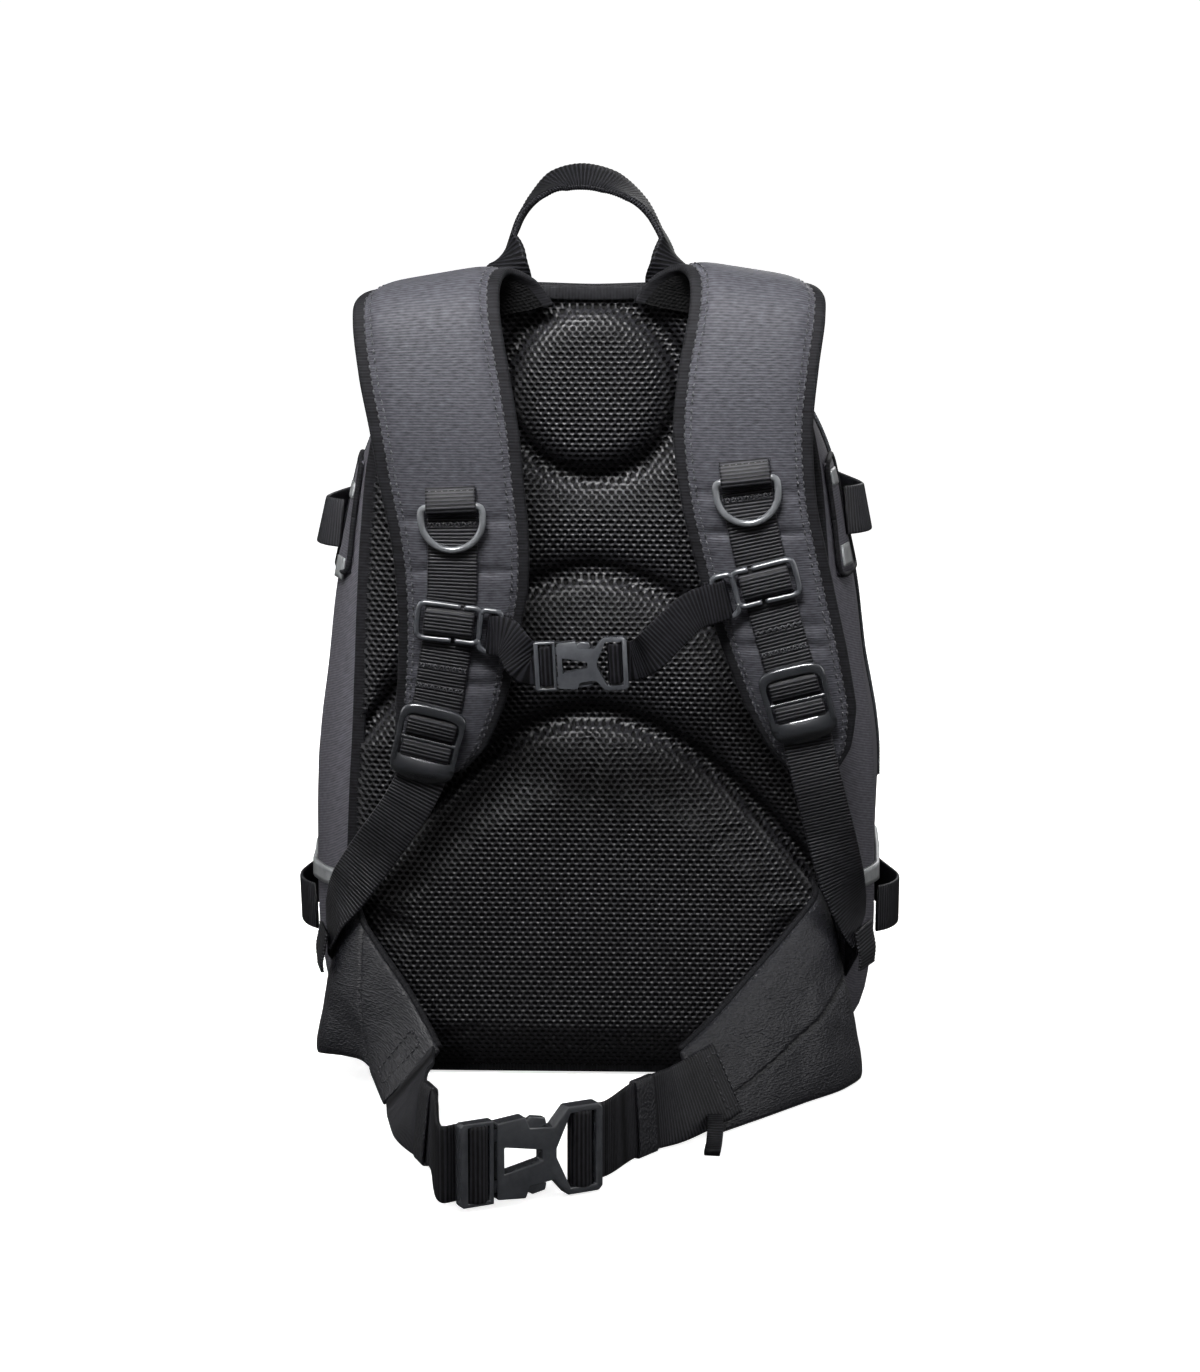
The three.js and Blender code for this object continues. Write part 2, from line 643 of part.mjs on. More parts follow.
// Sternum webbing round the slider's outer bar: up in its slot, behind the bar and away
function hookStations(place, sign) {
  const bar = SLIDER.width / 2 + SLIDER.hook - SLIDER.hookBar / 2;
  const behind = sliderHeight - SLIDER.thick / 2 - STERNUM.thick / 2 - GAP;
  const across = new THREE.Vector3(0, 1, 0).applyQuaternion(place.quaternion);
  const steps = [[-4.4, 5.2], [-4, 3.4], [-3, behind], [0, behind - 0.2], [4, behind + 0.2]];
  return steps.map(([away, lift]) => {
    const local = new THREE.Vector3(-sign * (bar + away), -SLIDER.hookDrop, lift);
    return { at: local.applyMatrix4(place.matrixWorld), across };
  });
}

// Ladder lock: two windows and a broad lower lip
const LADDER_WINDOWS = { upper: [4, 13.5], lower: [-8, 1.6] };

function ladderLock() {
  const { width, height, corner, bar, thick } = LADDER;
  const outline = roundedBox(-width / 2, width / 2, -height / 2, height / 2, corner, 4);
  const inside = width / 2 - bar;
  const windows = Object.values(LADDER_WINDOWS).map(([bottom, top]) => {
    return roundedBox(-inside, inside, bottom, top, 1.5, 2);
  });
  return plate(outline, windows, thick).translate(0, 0, 3 * GAP + WEBBING.thick + thick / 2);
}

// Side-release buckles: outlines as shares of half the length and half the height
const SOCKET = table("x y", [
  [-0.5, 0.86], [-0.1, 0.92], [-0.04, 0.66], [0.3, 0.6], [0.5, 1], [0.94, 1],
  [1, 0.9], [1, -0.9], [0.94, -1], [0.5, -1], [0.3, -0.6], [-0.04, -0.66],
  [-0.1, -0.92], [-0.5, -0.86],
]);
const SOCKET_WINDOW = table("x y", [[-0.4, 0.3], [0.14, 0.12], [0.14, -0.12], [-0.4, -0.3]]);
const SOCKET_SLOT = table("x y", [
  [0.34, 0.1], [0.54, 0.84], [0.9, 0.84], [0.9, -0.84], [0.54, -0.84], [0.34, -0.1],
]);
const PLUG = table("x y", [
  [-0.54, 0.94], [-0.97, 0.94], [-1, 0.88], [-1, -0.88], [-0.97, -0.94], [-0.54, -0.94],
]);
const PLUG_SLOT = table("x y", [[-0.6, 0.84], [-0.9, 0.84], [-0.9, -0.84], [-0.6, -0.84]]);
const PRONG = table("x y", [
  [-0.56, 0.42], [-0.1, 0.46], [0.22, 0.66], [0.2, 0.82], [0.02, 0.88], [-0.12, 0.74], [-0.56, 0.72],
]);

const outlineOf = (rows, size, sign = 1) => rows.map((row) => {
  return new THREE.Vector2((row.x * size.length) / 2, (sign * row.y * size.height) / 2);
});

// The socket, with a channel in each arm for a prong
function buckleSocket(size) {
  const windows = [outlineOf(SOCKET_WINDOW, size), outlineOf(SOCKET_SLOT, size)];
  const body = solid(plate(outlineOf(SOCKET, size), windows, size.thick));
  const channels = [1, -1].map((sign) => {
    const prong = outlineOf(PRONG, size, sign);
    const middle = prong.reduce((sum, p) => sum.add(p), new THREE.Vector2()).divideScalar(prong.length);
    const wide = prong.map((p) => p.clone().add(p.clone().sub(middle).setLength(3 * GAP)));
    return solid(plate(wide, [], size.thick / 2 + 2 * GAP));
  });
  return geometryOf(body.subtract(channels[0]).subtract(channels[1]));
}

function bucklePlug(size) {
  const frame = solid(plate(outlineOf(PLUG, size), [outlineOf(PLUG_SLOT, size)], size.thick * 0.8));
  const prongs = [1, -1].map((sign) => solid(plate(outlineOf(PRONG, size, sign), [], size.thick / 2)));
  return geometryOf(frame.add(prongs[0]).add(prongs[1]));
}

// A group for a buckle whose length runs between two points, standing upright
function buckleAt(ends) {
  const from = new THREE.Vector3(...ends.left);
  const to = new THREE.Vector3(...ends.right);
  const along = to.clone().sub(from).normalize();
  const out = new THREE.Vector3().crossVectors(along, new THREE.Vector3(0, 0, 1)).normalize();
  return frameAt(from.lerp(to, 0.5), along, new THREE.Vector3().crossVectors(out, along), out);
}

// Webbing round a buckle's end bar: behind the frame, out through the slot and behind again
function slotStations(place, size, sign, thick) {
  const behind = -size.thick / 2 - thick / 2 - GAP;
  const slotMiddle = sign > 0 ? 0.73 : 0.75;
  const steps = [
    [0.4, behind], [0.24, behind], [0.16, behind - 0.3], [0.07, behind * 0.4],
    [0.035, 1.2], [0, 2.4], [-0.035, 1.2], [-0.07, behind * 0.4],
  ];
  const across = new THREE.Vector3(0, 1, 0).applyQuaternion(place.quaternion);
  return steps.map(([share, lift]) => {
    const local = new THREE.Vector3((sign * (slotMiddle + share) * size.length) / 2, 0, lift);
    return { at: local.applyMatrix4(place.matrixWorld), across };
  });
}

// A cloth sleeve round the belt webbing, part way along one of its stretches
function keeper(stations, [stretch, share]) {
  const from = stations[stretch];
  const to = stations[stretch + 1];
  const along = to.at.clone().sub(from.at).normalize();
  const across = from.across.clone().lerp(to.across, share);
  across.addScaledVector(along, -across.dot(along)).normalize();
  const out = new THREE.Vector3().crossVectors(across, along);
  const inner = [BELT.width / 2 + KEEPER.slack / 2, BELT.thick / 2 + KEEPER.slack];
  const outer = inner.map((half) => half + KEEPER.wall);
  const section = plate(
    roundedBox(-outer[0], outer[0], -outer[1], outer[1], 1.5, 2),
    [roundedBox(-inner[0], inner[0], -inner[1], inner[1], 0.5, 1)], KEEPER.length);
  const turn = new THREE.Matrix4().makeBasis(across, out, new THREE.Vector3().crossVectors(across, out));
  return section.applyMatrix4(turn.setPosition(from.at.clone().lerp(to.at, share)));
}

// A band or patch that lies on the bag's side between two heights
function onSide(sign, { low, high, from, to, thick }, steps) {
  const rows = Array.from({ length: steps + 1 }, (_, i) => {
    const y = THREE.MathUtils.lerp(from, to, i / steps);
    const off = GAP + thick / 2;
    return {
      x: sign * (sideX(y, low) + off), y, z: low,
      topX: sign * (sideX(y, high) + off), topY: y, topZ: high, thick,
    };
  });
  return cloth(rows, 1);
}

// A side strap that leaves the bag's side, stands off it in a loop and comes back
function sideStrap({ sign, z, stand, over, from, to }) {
  const shape = [[0, 0], [0.06, 0.55], [0.16, 0.95], [0.28, 1], [0.45, 0.6], [0.62, 0.2], [0.8, 0], [1, 0]];
  const under = (y) => (y < PATCH.to ? over : 0);
  const stations = shape.map(([share, off]) => {
    const y = THREE.MathUtils.lerp(from, to, share);
    const x = sign * (sideX(y, z) + under(y) + 2 * GAP + WEBBING.thick / 2 + stand * off);
    const lean = sideX(y, z + WEBBING.width / 2) - sideX(y, z - WEBBING.width / 2);
    const across = new THREE.Vector3(sign * lean, 0, WEBBING.width).normalize();
    return { at: new THREE.Vector3(x, y, z), across };
  });
  return ribbon(stations, WEBBING);
}

// A folded cloth tab that holds the lower strap webbing to the bag's side
function anchorTab(end, sign) {
  const { reach, drop, height, thick, below, above, lean } = TAB;
  const y = end.y + reach;
  const low = end.z - drop - height / 2;
  const high = end.z - drop + height / 2;
  const x = end.x - sign * (WEBBING.thick / 2 + thick / 2 + GAP);
  const rows = [
    {
      x: x + sign * lean * below, y: end.y, z: end.z - below,
      topX: x - sign * lean * above, topY: end.y, topZ: end.z + above, thick,
    },
    { x: sign * sideX(y, low), y, z: low, topX: sign * sideX(y, high), topY: y, topZ: high, thick },
  ];
  return cloth(rows, 2);
}

// Bag and back panel
const body = bagBody();
const panel = backPanel();
add("bag_shell", bagShell(), CLOTH);
add("back_panel", panel, MESH);

// Shoulder straps with their webbing and hardware
const sternumPlace = buckleAt(STERNUM_BUCKLE_ENDS);
const STRAPS = [
  { side: "left", sign: -1, rows: STRAP_LEFT, ring: 308, slider: 250, lock: 186,
    lower: ADJUSTER_LEFT, sternum: STERNUM_LEFT },
  { side: "right", sign: 1, rows: STRAP_RIGHT, ring: 322, slider: 271, lock: 209,
    lower: ADJUSTER_RIGHT, sternum: STERNUM_RIGHT },
];
for (const { side, sign, rows, ring, slider, lock, lower, sternum } of STRAPS) {
  const strap = strapLine(rows);
  add(`shoulder_strap_${side}`, seated(paddedStrap(strap, 2), panel, 0, -GAP, 0), PADDED);

  const ringPlace = onStrap(strap, ring);
  add(`d_ring_loop_${side}`, ringLoop(), WEB, ringPlace);
  add(`d_ring_${side}`, dRing(), RING, ringPlace);

  const sliderPlace = onStrap(strap, slider);
  add(`sternum_slider_${side}`, sternumSlider(sign), PLASTIC, sliderPlace);

  const lockPlace = onStrap(strap, lock);
  add(`ladder_lock_${side}`, ladderLock(), LOCK, lockPlace);

  const webbing = [
    ...laidStations(strap, ringPlace, [ring - 6, ring - 18]),
    ...liftedStations(sliderPlace, [[14, 0], ...hump(0, 6.4, 4.2), [-14, 0]]),
    ...liftedStations(lockPlace, [[23, 0], ...hump(8.9, 4.1, 4.2).slice(0, 6), [4.7, 0], [3.2, 0]]),
  ];
  add(`strap_webbing_${side}`, ribbon(webbing, WEBBING), WEB);

  const lowerWebbing = [
    ...liftedStations(lockPlace, [[2.6, 0], [1, 0], ...hump(-3.3, 4, 4.2).slice(1), [-14, 0]]),
    ...laidStations(strap, lockPlace, [lock - 23]),
    ...stationsOf(lower),
  ];
  const adjuster = ribbon(lowerWebbing, WEBBING);
  add(`adjuster_webbing_${side}`, adjuster, WEB);
  const tab = seated(anchorTab(lower[lower.length - 1], sign), body, sign * GAP, 0, 0);
  add(`anchor_tab_${side}`, seated(tab, adjuster, -sign * GAP, 0, 0), WING);

  const chest = [
    ...hookStations(sliderPlace, sign),
    ...stationsOf(sternum),
    ...slotStations(sternumPlace, STERNUM_BUCKLE, sign, STERNUM.thick),
  ];
  add(`sternum_webbing_${side}`, ribbon(chest, STERNUM), WEB);
}
add("sternum_buckle_socket", buckleSocket(STERNUM_BUCKLE), PLASTIC, sternumPlace);
add("sternum_buckle_plug", bucklePlug(STERNUM_BUCKLE), PLASTIC, sternumPlace);

// Carry handle, trimmed to the bag's top
const handle = ribbon(stationsOf(HANDLE), { width: WEBBING.width, thick: 2 * WEBBING.thick }, 2);
add("carry_handle", seated(handle, body, 0, 0, GAP), WEB);

// Hip belt
const hipPlace = buckleAt(HIP_BUCKLE_ENDS);
const HIPS = [
  { side: "left", sign: -1, wing: WING_LEFT, webbing: HIP_WEBBING_LEFT, swell: 3 },
  { side: "right", sign: 1, wing: WING_RIGHT, webbing: HIP_WEBBING_RIGHT, swell: -3 },
];
for (const { side, sign, wing, webbing, swell } of HIPS) {
  add(`hip_wing_${side}`, seated(cloth(wing, 2, swell), panel, sign * GAP, -GAP, 0), WING);
  const stations = stationsOf(webbing);
  const belt = [...stations, ...slotStations(hipPlace, HIP_BUCKLE, sign, BELT.thick)];
  add(`hip_webbing_${side}`, ribbon(belt, BELT), WEB);
  add(`hip_keeper_${side}`, keeper(stations, HIP_KEEPERS[side]), WING);
}
add("hip_tail_right", ribbon(stationsOf(HIP_TAIL), TAIL), WEB);
add("hip_buckle_socket", buckleSocket(HIP_BUCKLE), PLASTIC, hipPlace);
add("hip_buckle_plug", bucklePlug(HIP_BUCKLE), PLASTIC, hipPlace);

// Side straps, the patches under the upper ones and the bands above the lower ones
for (const [side, sign] of [["left", -1], ["right", 1]]) {
  const patch = seated(onSide(sign, PATCH, 4), body, sign * GAP, 0, 0);
  add(`side_patch_${side}`, patch, TRIM);
  add(`pocket_trim_${side}`, seated(onSide(sign, SIDE_BAND, 8), body, sign * GAP, 0, 0), TRIM);
  for (const row of SIDE_STRAPS.filter((strap) => strap.sign === sign)) {
    const strap = seated(sideStrap(row), body, sign * GAP, 0, 0);
    add(row.name, seated(strap, patch, sign * GAP, 0, 0), WEB);
  }
}

export default bag;
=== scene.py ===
import math
from collections import namedtuple

import bmesh
import bpy
import numpy as np
from mathutils import Matrix, Vector, noise
from mathutils.bvhtree import BVHTree


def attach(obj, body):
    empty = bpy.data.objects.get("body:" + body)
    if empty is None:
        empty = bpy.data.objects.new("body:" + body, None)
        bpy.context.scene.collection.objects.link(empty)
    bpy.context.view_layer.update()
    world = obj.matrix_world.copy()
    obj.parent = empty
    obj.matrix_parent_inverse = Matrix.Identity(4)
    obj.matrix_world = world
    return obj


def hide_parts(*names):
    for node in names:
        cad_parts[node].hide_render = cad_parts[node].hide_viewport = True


# A ski touring backpack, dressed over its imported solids. Sizes are millimetres in the solids' frame:
# +Z up, the harness faces -Y, left is -X, and the origin is the middle of the sole.
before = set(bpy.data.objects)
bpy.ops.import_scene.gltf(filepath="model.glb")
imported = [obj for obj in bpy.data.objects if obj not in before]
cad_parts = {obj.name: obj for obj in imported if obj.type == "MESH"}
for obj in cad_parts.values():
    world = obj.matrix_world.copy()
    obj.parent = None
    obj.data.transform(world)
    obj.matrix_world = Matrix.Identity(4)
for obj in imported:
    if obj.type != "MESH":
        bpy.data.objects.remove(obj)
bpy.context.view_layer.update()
MM = 0.001

# Sizes that the solids share
GAP = 0.35  # the play between pieces that lie on each other
Band = namedtuple("Band", "width thick")
WEBBING = Band(25, 1.6)
STERNUM = Band(20, 1.6)
BELT = Band(35, 2)
TAIL = Band(8, 3.2)
HANDLE_BAND = Band(25, 3.2)
BACK_Y = -85  # the bag's rim behind the back panel
DEPTH = 170
SOLE_DROP = 3
LID_SLOPE = 26
SLIM = 0.3  # the share of its depth that the bag loses from SLIM_FROM up to its top
SLIM_FROM = 150
PANEL_BASE = 5
GROOVE = 3.5
ROUNDING = 17  # the width of a pad's round shoulder
EDGE_REST = 1  # the pads come down to the panel's base this far inside its edge
PAD_HEIGHT = {"lumbar": 15, "middle": 11, "top": 13, "field": 8}
TOP_PAD = {"z": 359, "radius": 45}
Arch = namedtuple("Arch", "crown drop at power")
MIDDLE_ARCH = Arch(266, 9.5, 34, 1.75)
LUMBAR_ARCH = Arch(192, 11, 37, 1.78)
SLIDER = {"width": 34, "height": 21, "thick": 3.6, "hook": 10, "hook_bar": 2.8, "hook_drop": 3}
Buckle = namedtuple("Buckle", "length height thick")
STERNUM_BUCKLE = Buckle(46, 26, 6)
HIP_BUCKLE = Buckle(74, 43, 8)
KEEPER = {"length": 16, "slack": 1.5, "wall": 1.4}
PATCH = {"low": 262, "high": 320, "start": -78, "end": -36, "thick": 1.6}
SIDE_BAND = {"low": 97, "high": 106, "start": -80, "end": 60, "thick": 2.4}
TAB = {"reach": 18, "drop": 12, "height": 34, "thick": 2.4, "below": 12, "above": 8, "lean": 0.22}


def table(columns, rows):
    """Rows with named columns"""
    row_type = namedtuple("Row", columns)
    return [row_type(*row) for row in rows]


# The back panel's half outline, from the sole up, and how far the side bulges out behind it
OUTLINE = table("z half bulge", [
    [3, 92, 0],
    [5, 106, 4],
    [13, 118, 10],
    [29, 125, 17],
    [60, 127, 21],
    [98, 126.5, 23],
    [148, 124.5, 25],
    [181, 122.5, 24.5],
    [214, 121, 20.5],
    [257, 119, 16.5],
    [286, 117, 12],
    [319, 113.5, 8],
    [345, 108, 4],
    [370, 99, 1],
    [390, 86, 0],
    [403, 69, 0],
    [409, 46, 0],
])
SOLE_Z = OUTLINE[0].z
TOP_Z = OUTLINE[-1].z

# The bag from its back rim to its front: shares of the bulge, the sole's drop and the lid's slope
DEPTHS = table("depth bulge sole lid shrink", [
    [0, 0, 0, 0, 0],
    [9, 0.45, 1, 0.05, 0],
    [30, 0.85, 1, 0.15, 0],
    [75, 1, 1, 0.4, 0],
    [118, 0.95, 1, 0.65, 0],
    [148, 0.7, 1, 0.85, 0.02],
    [164, 0.3, 0.8, 1, 0.07],
    [170, 0, 0.4, 1, 0.2],
])

# Shoulder straps from the root at the panel's top, over the shoulder and down to the tip. The tilt is in
# degrees, and the lane is how far the webbing on a strap lies beside the strap's middle.
STRAP_COLUMNS = "x y z width thick tilt lane"
STRAP_LEFT = table(STRAP_COLUMNS, [
    [-48, -99.5, 396, 60, 6, 11, 0],
    [-60, -104, 408, 66, 8, 11, 0],
    [-74, -114, 414, 70, 10, 10, 0],
    [-80, -128, 410, 73, 11, 8, 0],
    [-80.3, -138, 399, 73, 11, 4, 0],
    [-75.5, -146, 368, 75, 11, 0, 0],
    [-71, -148, 343, 74, 11, 0, 0],
    [-67.8, -147, 318, 72, 11, 0, 0],
    [-64, -145, 290, 69, 11, 0, -3],
    [-63.1, -142, 264, 66, 11, 0, -5],
    [-65.5, -138, 238, 60, 11, 0, -5.5],
    [-69.5, -133, 207, 56, 10, 0, -6.8],
    [-75.5, -129, 182, 47, 9, 0, -7],
    [-79, -127, 168, 29, 7, 0, -6],
])
STRAP_RIGHT = table(STRAP_COLUMNS, [
    [50, -99.5, 398, 60, 6, -10, 0],
    [61, -104, 410, 64, 8, -10, 0],
    [75, -114, 417, 66, 10, -9, 0],
    [82, -128, 413, 67, 11, -7, 0],
    [82.6, -138, 402, 67, 11, -3, 0],
    [78.2, -146, 373, 69, 11, 0, 0],
    [75.9, -148, 344, 69, 11, 0, 0],
    [79.1, -147, 309, 67, 11, 0, 0],
    [83.3, -145, 289, 66.5, 11, 0, 0],
    [88.1, -142, 269, 66, 11, 0, 0],
    [97.5, -138, 234, 62.5, 11, 0, 0],
    [105.9, -133, 204, 56, 10, 0, 0],
    [110.5, -129, 183, 42, 9, 0, 0],
    [112.5, -127, 170, 24, 7, 0, 0],
])

# The carry handle, with the direction of its width: flat at the feet and turned over the hand
BAND_COLUMNS = "x y z ax ay az"
HANDLE = table(BAND_COLUMNS, [
    [-44, -73, 403, 1, 0, 0],
    [-44, -72.5, 413, 1, 0, 0],
    [-43.5, -71, 422, 0.7, -0.7, 0],
    [-42.5, -66, 430, 0.1, -1, 0.12],
    [-38, -59, 442, 0, -1, 0.08],
    [-29.5, -51, 453, 0, -0.98, -0.18],
    [-19.5, -46, 460.5, 0, -0.92, -0.4],
    [-7, -44, 463, 0, -0.9, -0.43],
    [7.5, -45, 460, 0, -0.92, -0.4],
    [21, -50, 451.5, 0, -0.98, -0.18],
    [30.5, -58, 440.5, 0, -1, 0.08],
    [37, -66, 429, -0.1, -1, 0.12],
    [38.5, -71, 420.5, -0.7, -0.7, 0],
    [38.5, -72.5, 412, -1, 0, 0],
    [38.5, -73, 403, -1, 0, 0],
])

# Hip belt wings as pairs of points, on the lower and on the upper edge
WING_COLUMNS = "x y z top_x top_y top_z thick"
WING_LEFT = table(WING_COLUMNS, [
    [-122, -90, 14, -113, -90, 108, 5],
    [-141, -94, 12, -121, -100, 101, 5],
    [-141, -105, 14, -118, -113, 88, 5],
    [-127, -117, 16, -106, -127, 73, 5],
    [-115, -130, 16, -91, -142, 56, 5],
    [-102, -165, 4, -74, -160, 31, 4],
])
WING_RIGHT = table(WING_COLUMNS, [
    [122, -90, 6, 111, -90, 108, 5],
    [139, -96, 3, 115, -101, 100, 5],
    [131, -119, 2, 103, -120, 87, 5],
    [109, -147, 2, 85, -145, 72, 5],
    [87, -175, 2, 65, -171, 55, 5],
    [65, -202, 2, 46, -196, 42, 4],
])
# Hip belt webbing, with the direction of its width
HIP_WEBBING_LEFT = table(BAND_COLUMNS, [
    [-87.6, -165.7, 17.5, 27, 5, 27],
    [-87.5, -184, 18, 23, 10, 30],
    [-85, -212, 19, 15, 12, 33],
    [-79, -238, 20.5, 6, 5, 36],
    [-70.5, -264, 22, 2, 2, 37],
])
HIP_WEBBING_RIGHT = table(BAND_COLUMNS, [
    [54.9, -202.7, 21, -17, 6, 38],
    [46, -215, 21.3, -9, 4, 37],
    [36, -228, 21.7, -4, 2, 37],
    [25, -246, 22.2, -2, 1, 37],
])
HIP_BUCKLE_ENDS = {"left": (-54, -323, 22.8), "right": (10, -286, 22.8)}
STERNUM_BUCKLE_ENDS = {"left": (-26, -165, 229.5), "right": (20, -166, 232)}
HIP_TAIL = table(BAND_COLUMNS, [
    [64.2, -205.6, 12, 1, 0, 0],
    [64.5, -213, 9.5, 1, 0, 0],
    [64, -222, 4.5, 1, 0, 0],
    [63, -232, 2, 1, 0, 0],
])

# Lower strap webbing from the strap's tip to its sewn tab, with the direction of its width
ADJUSTER_LEFT = table(BAND_COLUMNS, [
    [-93, -130, 151, 0.88, 0, -0.48],
    [-110, -123, 126, 0.8, -0.1, -0.57],
    [-123.5, -116, 106, 0.65, -0.35, -0.6],
    [-132, -108, 91, 0.4, -0.75, -0.4],
    [-136.5, -99, 77, 0.2, -0.95, -0.2],
])
ADJUSTER_RIGHT = table(BAND_COLUMNS, [
    [116, -130, 160, 0.98, 0, 0.2],
    [121.5, -124, 138, 0.97, 0, 0.24],
    [127.5, -117, 114, 0.9, 0.3, 0.25],
    [133, -108, 95, 0.65, 0.7, 0.2],
    [137.5, -98, 80, 0.35, 0.95, 0.1],
])
# Sternum webbing between the sliders and the buckle
STERNUM_LEFT = table(BAND_COLUMNS, [
    [-40.5, -156, 242, 0.4, 0, 1],
    [-34.5, -161, 235.5, 0.35, 0, 1],
])
STERNUM_RIGHT = table(BAND_COLUMNS, [
    [52, -162, 257, -0.4, 0, 1],
    [42, -168, 249, -0.5, 0, 1],
    [31, -170, 238, -0.3, 0, 1],
])
# Side straps: height, how far they stand off the side, what lies under their start, start and end
SIDE_STRAPS = table("name side z stand over start end", [
    ["upper", "left", 285, 11.5, 2, -58, 38],
    ["upper", "right", 293, 11.5, 2, -58, 38],
    ["lower", "left", 79, 9, 0, -50, 58],
    ["lower", "right", 80, 11, 0, -50, 58],
])
SIGN = {"left": -1, "right": 1}


# Camera and lamps

CAMERA_AT = Vector((68.1, -2035.6, 566.7)) * MM
CAMERA_AIM = Vector((0, -85, 205)) * MM
SENSOR = 36
LENS = 101.28
SIDE_SHIFT = 0.0051
# Soft boxes in metres, watts and degrees: a narrow one from above for the straps, a small one for glints,
# a narrow one for the belt, and broad ones that fill in from behind and from both sides
MIDDLE = (0, -0.1, 0.22)
LAMPS = table("name at aim size power spread", [
    ["overhead", (-0.1, -0.66, 0.92), (0, -0.15, 0.42), (0.5, 0.3), 1.92, 40],
    ["sparkle", (-0.45, -1.7, 0.95), MIDDLE, (0.07, 0.07), 0.25, 180],
    ["belt", (-0.25, -1.5, 0.5), (-0.02, -0.31, -0.01), (0.3, 0.3), 0.08, 12],
    ["behind", (0.5, 1.4, 0.9), MIDDLE, (0.9, 0.9), 8, 180],
    ["left", (-1.25, -0.35, 0.6), MIDDLE, (0.7, 0.9), 5.6, 180],
    ["right", (1.25, -0.35, 0.6), MIDDLE, (0.7, 0.9), 5.6, 180],
])


def facing(at, aim):
    """The turn that points a camera or a lamp from one place at another"""
    return (Vector(aim) - Vector(at)).to_track_quat("-Z", "Y").to_euler()


def set_camera():
    """A long lens that sees the harness side from a little above"""
    data = bpy.data.cameras.new("camera")
    data.sensor_fit = "VERTICAL"
    data.sensor_height = SENSOR
    data.lens = LENS
    data.shift_x = SIDE_SHIFT
    camera = bpy.data.objects.new("camera", data)
    camera.location = CAMERA_AT
    camera.rotation_euler = facing(CAMERA_AT, CAMERA_AIM)
    bpy.context.scene.collection.objects.link(camera)
    bpy.context.scene.camera = camera


def hang_lamp(row):
    """One soft box of the table, which the camera itself doesn't see"""
    data = bpy.data.lights.new(row.name, "AREA")
    data.shape = "RECTANGLE"
    data.size, data.size_y = row.size
    data.energy = row.power
    data.spread = math.radians(row.spread)
    lamp = bpy.data.objects.new(row.name, data)
    lamp.visible_camera = False
    lamp.location = row.at
    lamp.rotation_euler = facing(row.at, row.aim)
    bpy.context.scene.collection.objects.link(lamp)


# Materials

WAVE_PERIOD = 2 * math.pi / 20  # a wave texture of scale 1 repeats after this length
RIB = 1.8  # the webbing's ribs are 1.6 mm apart, and are drawn a little coarser so that they show
RIB_RISE = 0.36
# Sizes of slow changes of tone in mm: in moulded plastic, in knitted yarn and on worn tape
CLOUD = {"plastic": 9, "knit": 25, "tape": 6}
BEAD = 0.9  # glass beads are far finer, and are drawn this coarse so that they show


def linear(code):
    """An sRGB hex colour as linear RGBA"""
    shades = [int(code[i:i + 2], 16) / 255 for i in (1, 3, 5)]
    return [s / 12.92 if s <= 0.04045 else ((s + 0.055) / 1.055) ** 2.4 for s in shades] + [1]


def node(tree, kind, inputs=None, **settings):
    """Add a shader node with its settings; an input is set, or linked where a socket is given"""
    made = tree.nodes.new("ShaderNode" + kind)
    for name, value in settings.items():
        setattr(made, name, value)
    for name, value in (inputs or {}).items():
        if isinstance(value, bpy.types.NodeSocket):
            tree.links.new(value, made.inputs[name])
        else:
            made.inputs[name].default_value = value
    return made


def material_tree(name):
    """A new material and its empty node tree"""
    material = bpy.data.materials.new(name)
    material.use_nodes = True
    material.node_tree.nodes.clear()
    return material, material.node_tree


def woven(name, dark, light, rib, relief, roughness, gloss=0.1, slub=7, crown_light_share=0.4):
    """Cloth whose crosswise ribs are broken into slubs: the pitch of its ribs and its relief in mm,
    the length of a slub in ribs, and the share of the colour that paints the ribs' crowns lighter as a
    painted highlight"""
    material, tree = material_tree(name)
    weave = node(tree, "Attribute", attribute_name="weave").outputs["Vector"]
    ribs = node(tree, "TexWave", {
        "Vector": weave, "Scale": WAVE_PERIOD / rib, "Distortion": 0.8, "Detail Scale": 0.2,
    }, bands_direction="X")
    stretch = (1 / rib, 1 / (slub * rib), 1)
    drawn_out = node(tree, "VectorMath", {0: weave, 1: stretch}, operation="MULTIPLY")
    slubs = node(tree, "TexNoise", {"Vector": drawn_out.outputs["Vector"], "Scale": 1, "Detail": 2})
    clear = node(tree, "MapRange", {"Value": slubs.outputs["Fac"], "From Min": 0.25, "From Max": 0.75})
    # painted highlight: the ribs' crowns are coloured lighter, as where light catches them
    crown_light = node(tree, "MapRange", {"Value": ribs.outputs["Fac"], "From Min": 0.3, "From Max": 0.85})
    yarn = node(tree, "MixRGB", {
        "Fac": crown_light_share, "Color1": clear.outputs["Result"], "Color2": crown_light.outputs["Result"],
    })
    colour = node(tree, "MixRGB", {
        "Fac": yarn.outputs["Color"], "Color1": linear(dark), "Color2": linear(light),
    })
    bump = node(tree, "Bump", {"Height": yarn.outputs["Color"], "Strength": 0.8, "Distance": relief * MM})
    shader = node(tree, "BsdfPrincipled", {
        "Base Color": colour.outputs["Color"], "Roughness": roughness, "Normal": bump.outputs["Normal"],
        "Specular IOR Level": gloss,
    })
    node(tree, "OutputMaterial", {"Surface": shader.outputs["BSDF"]})
    return material


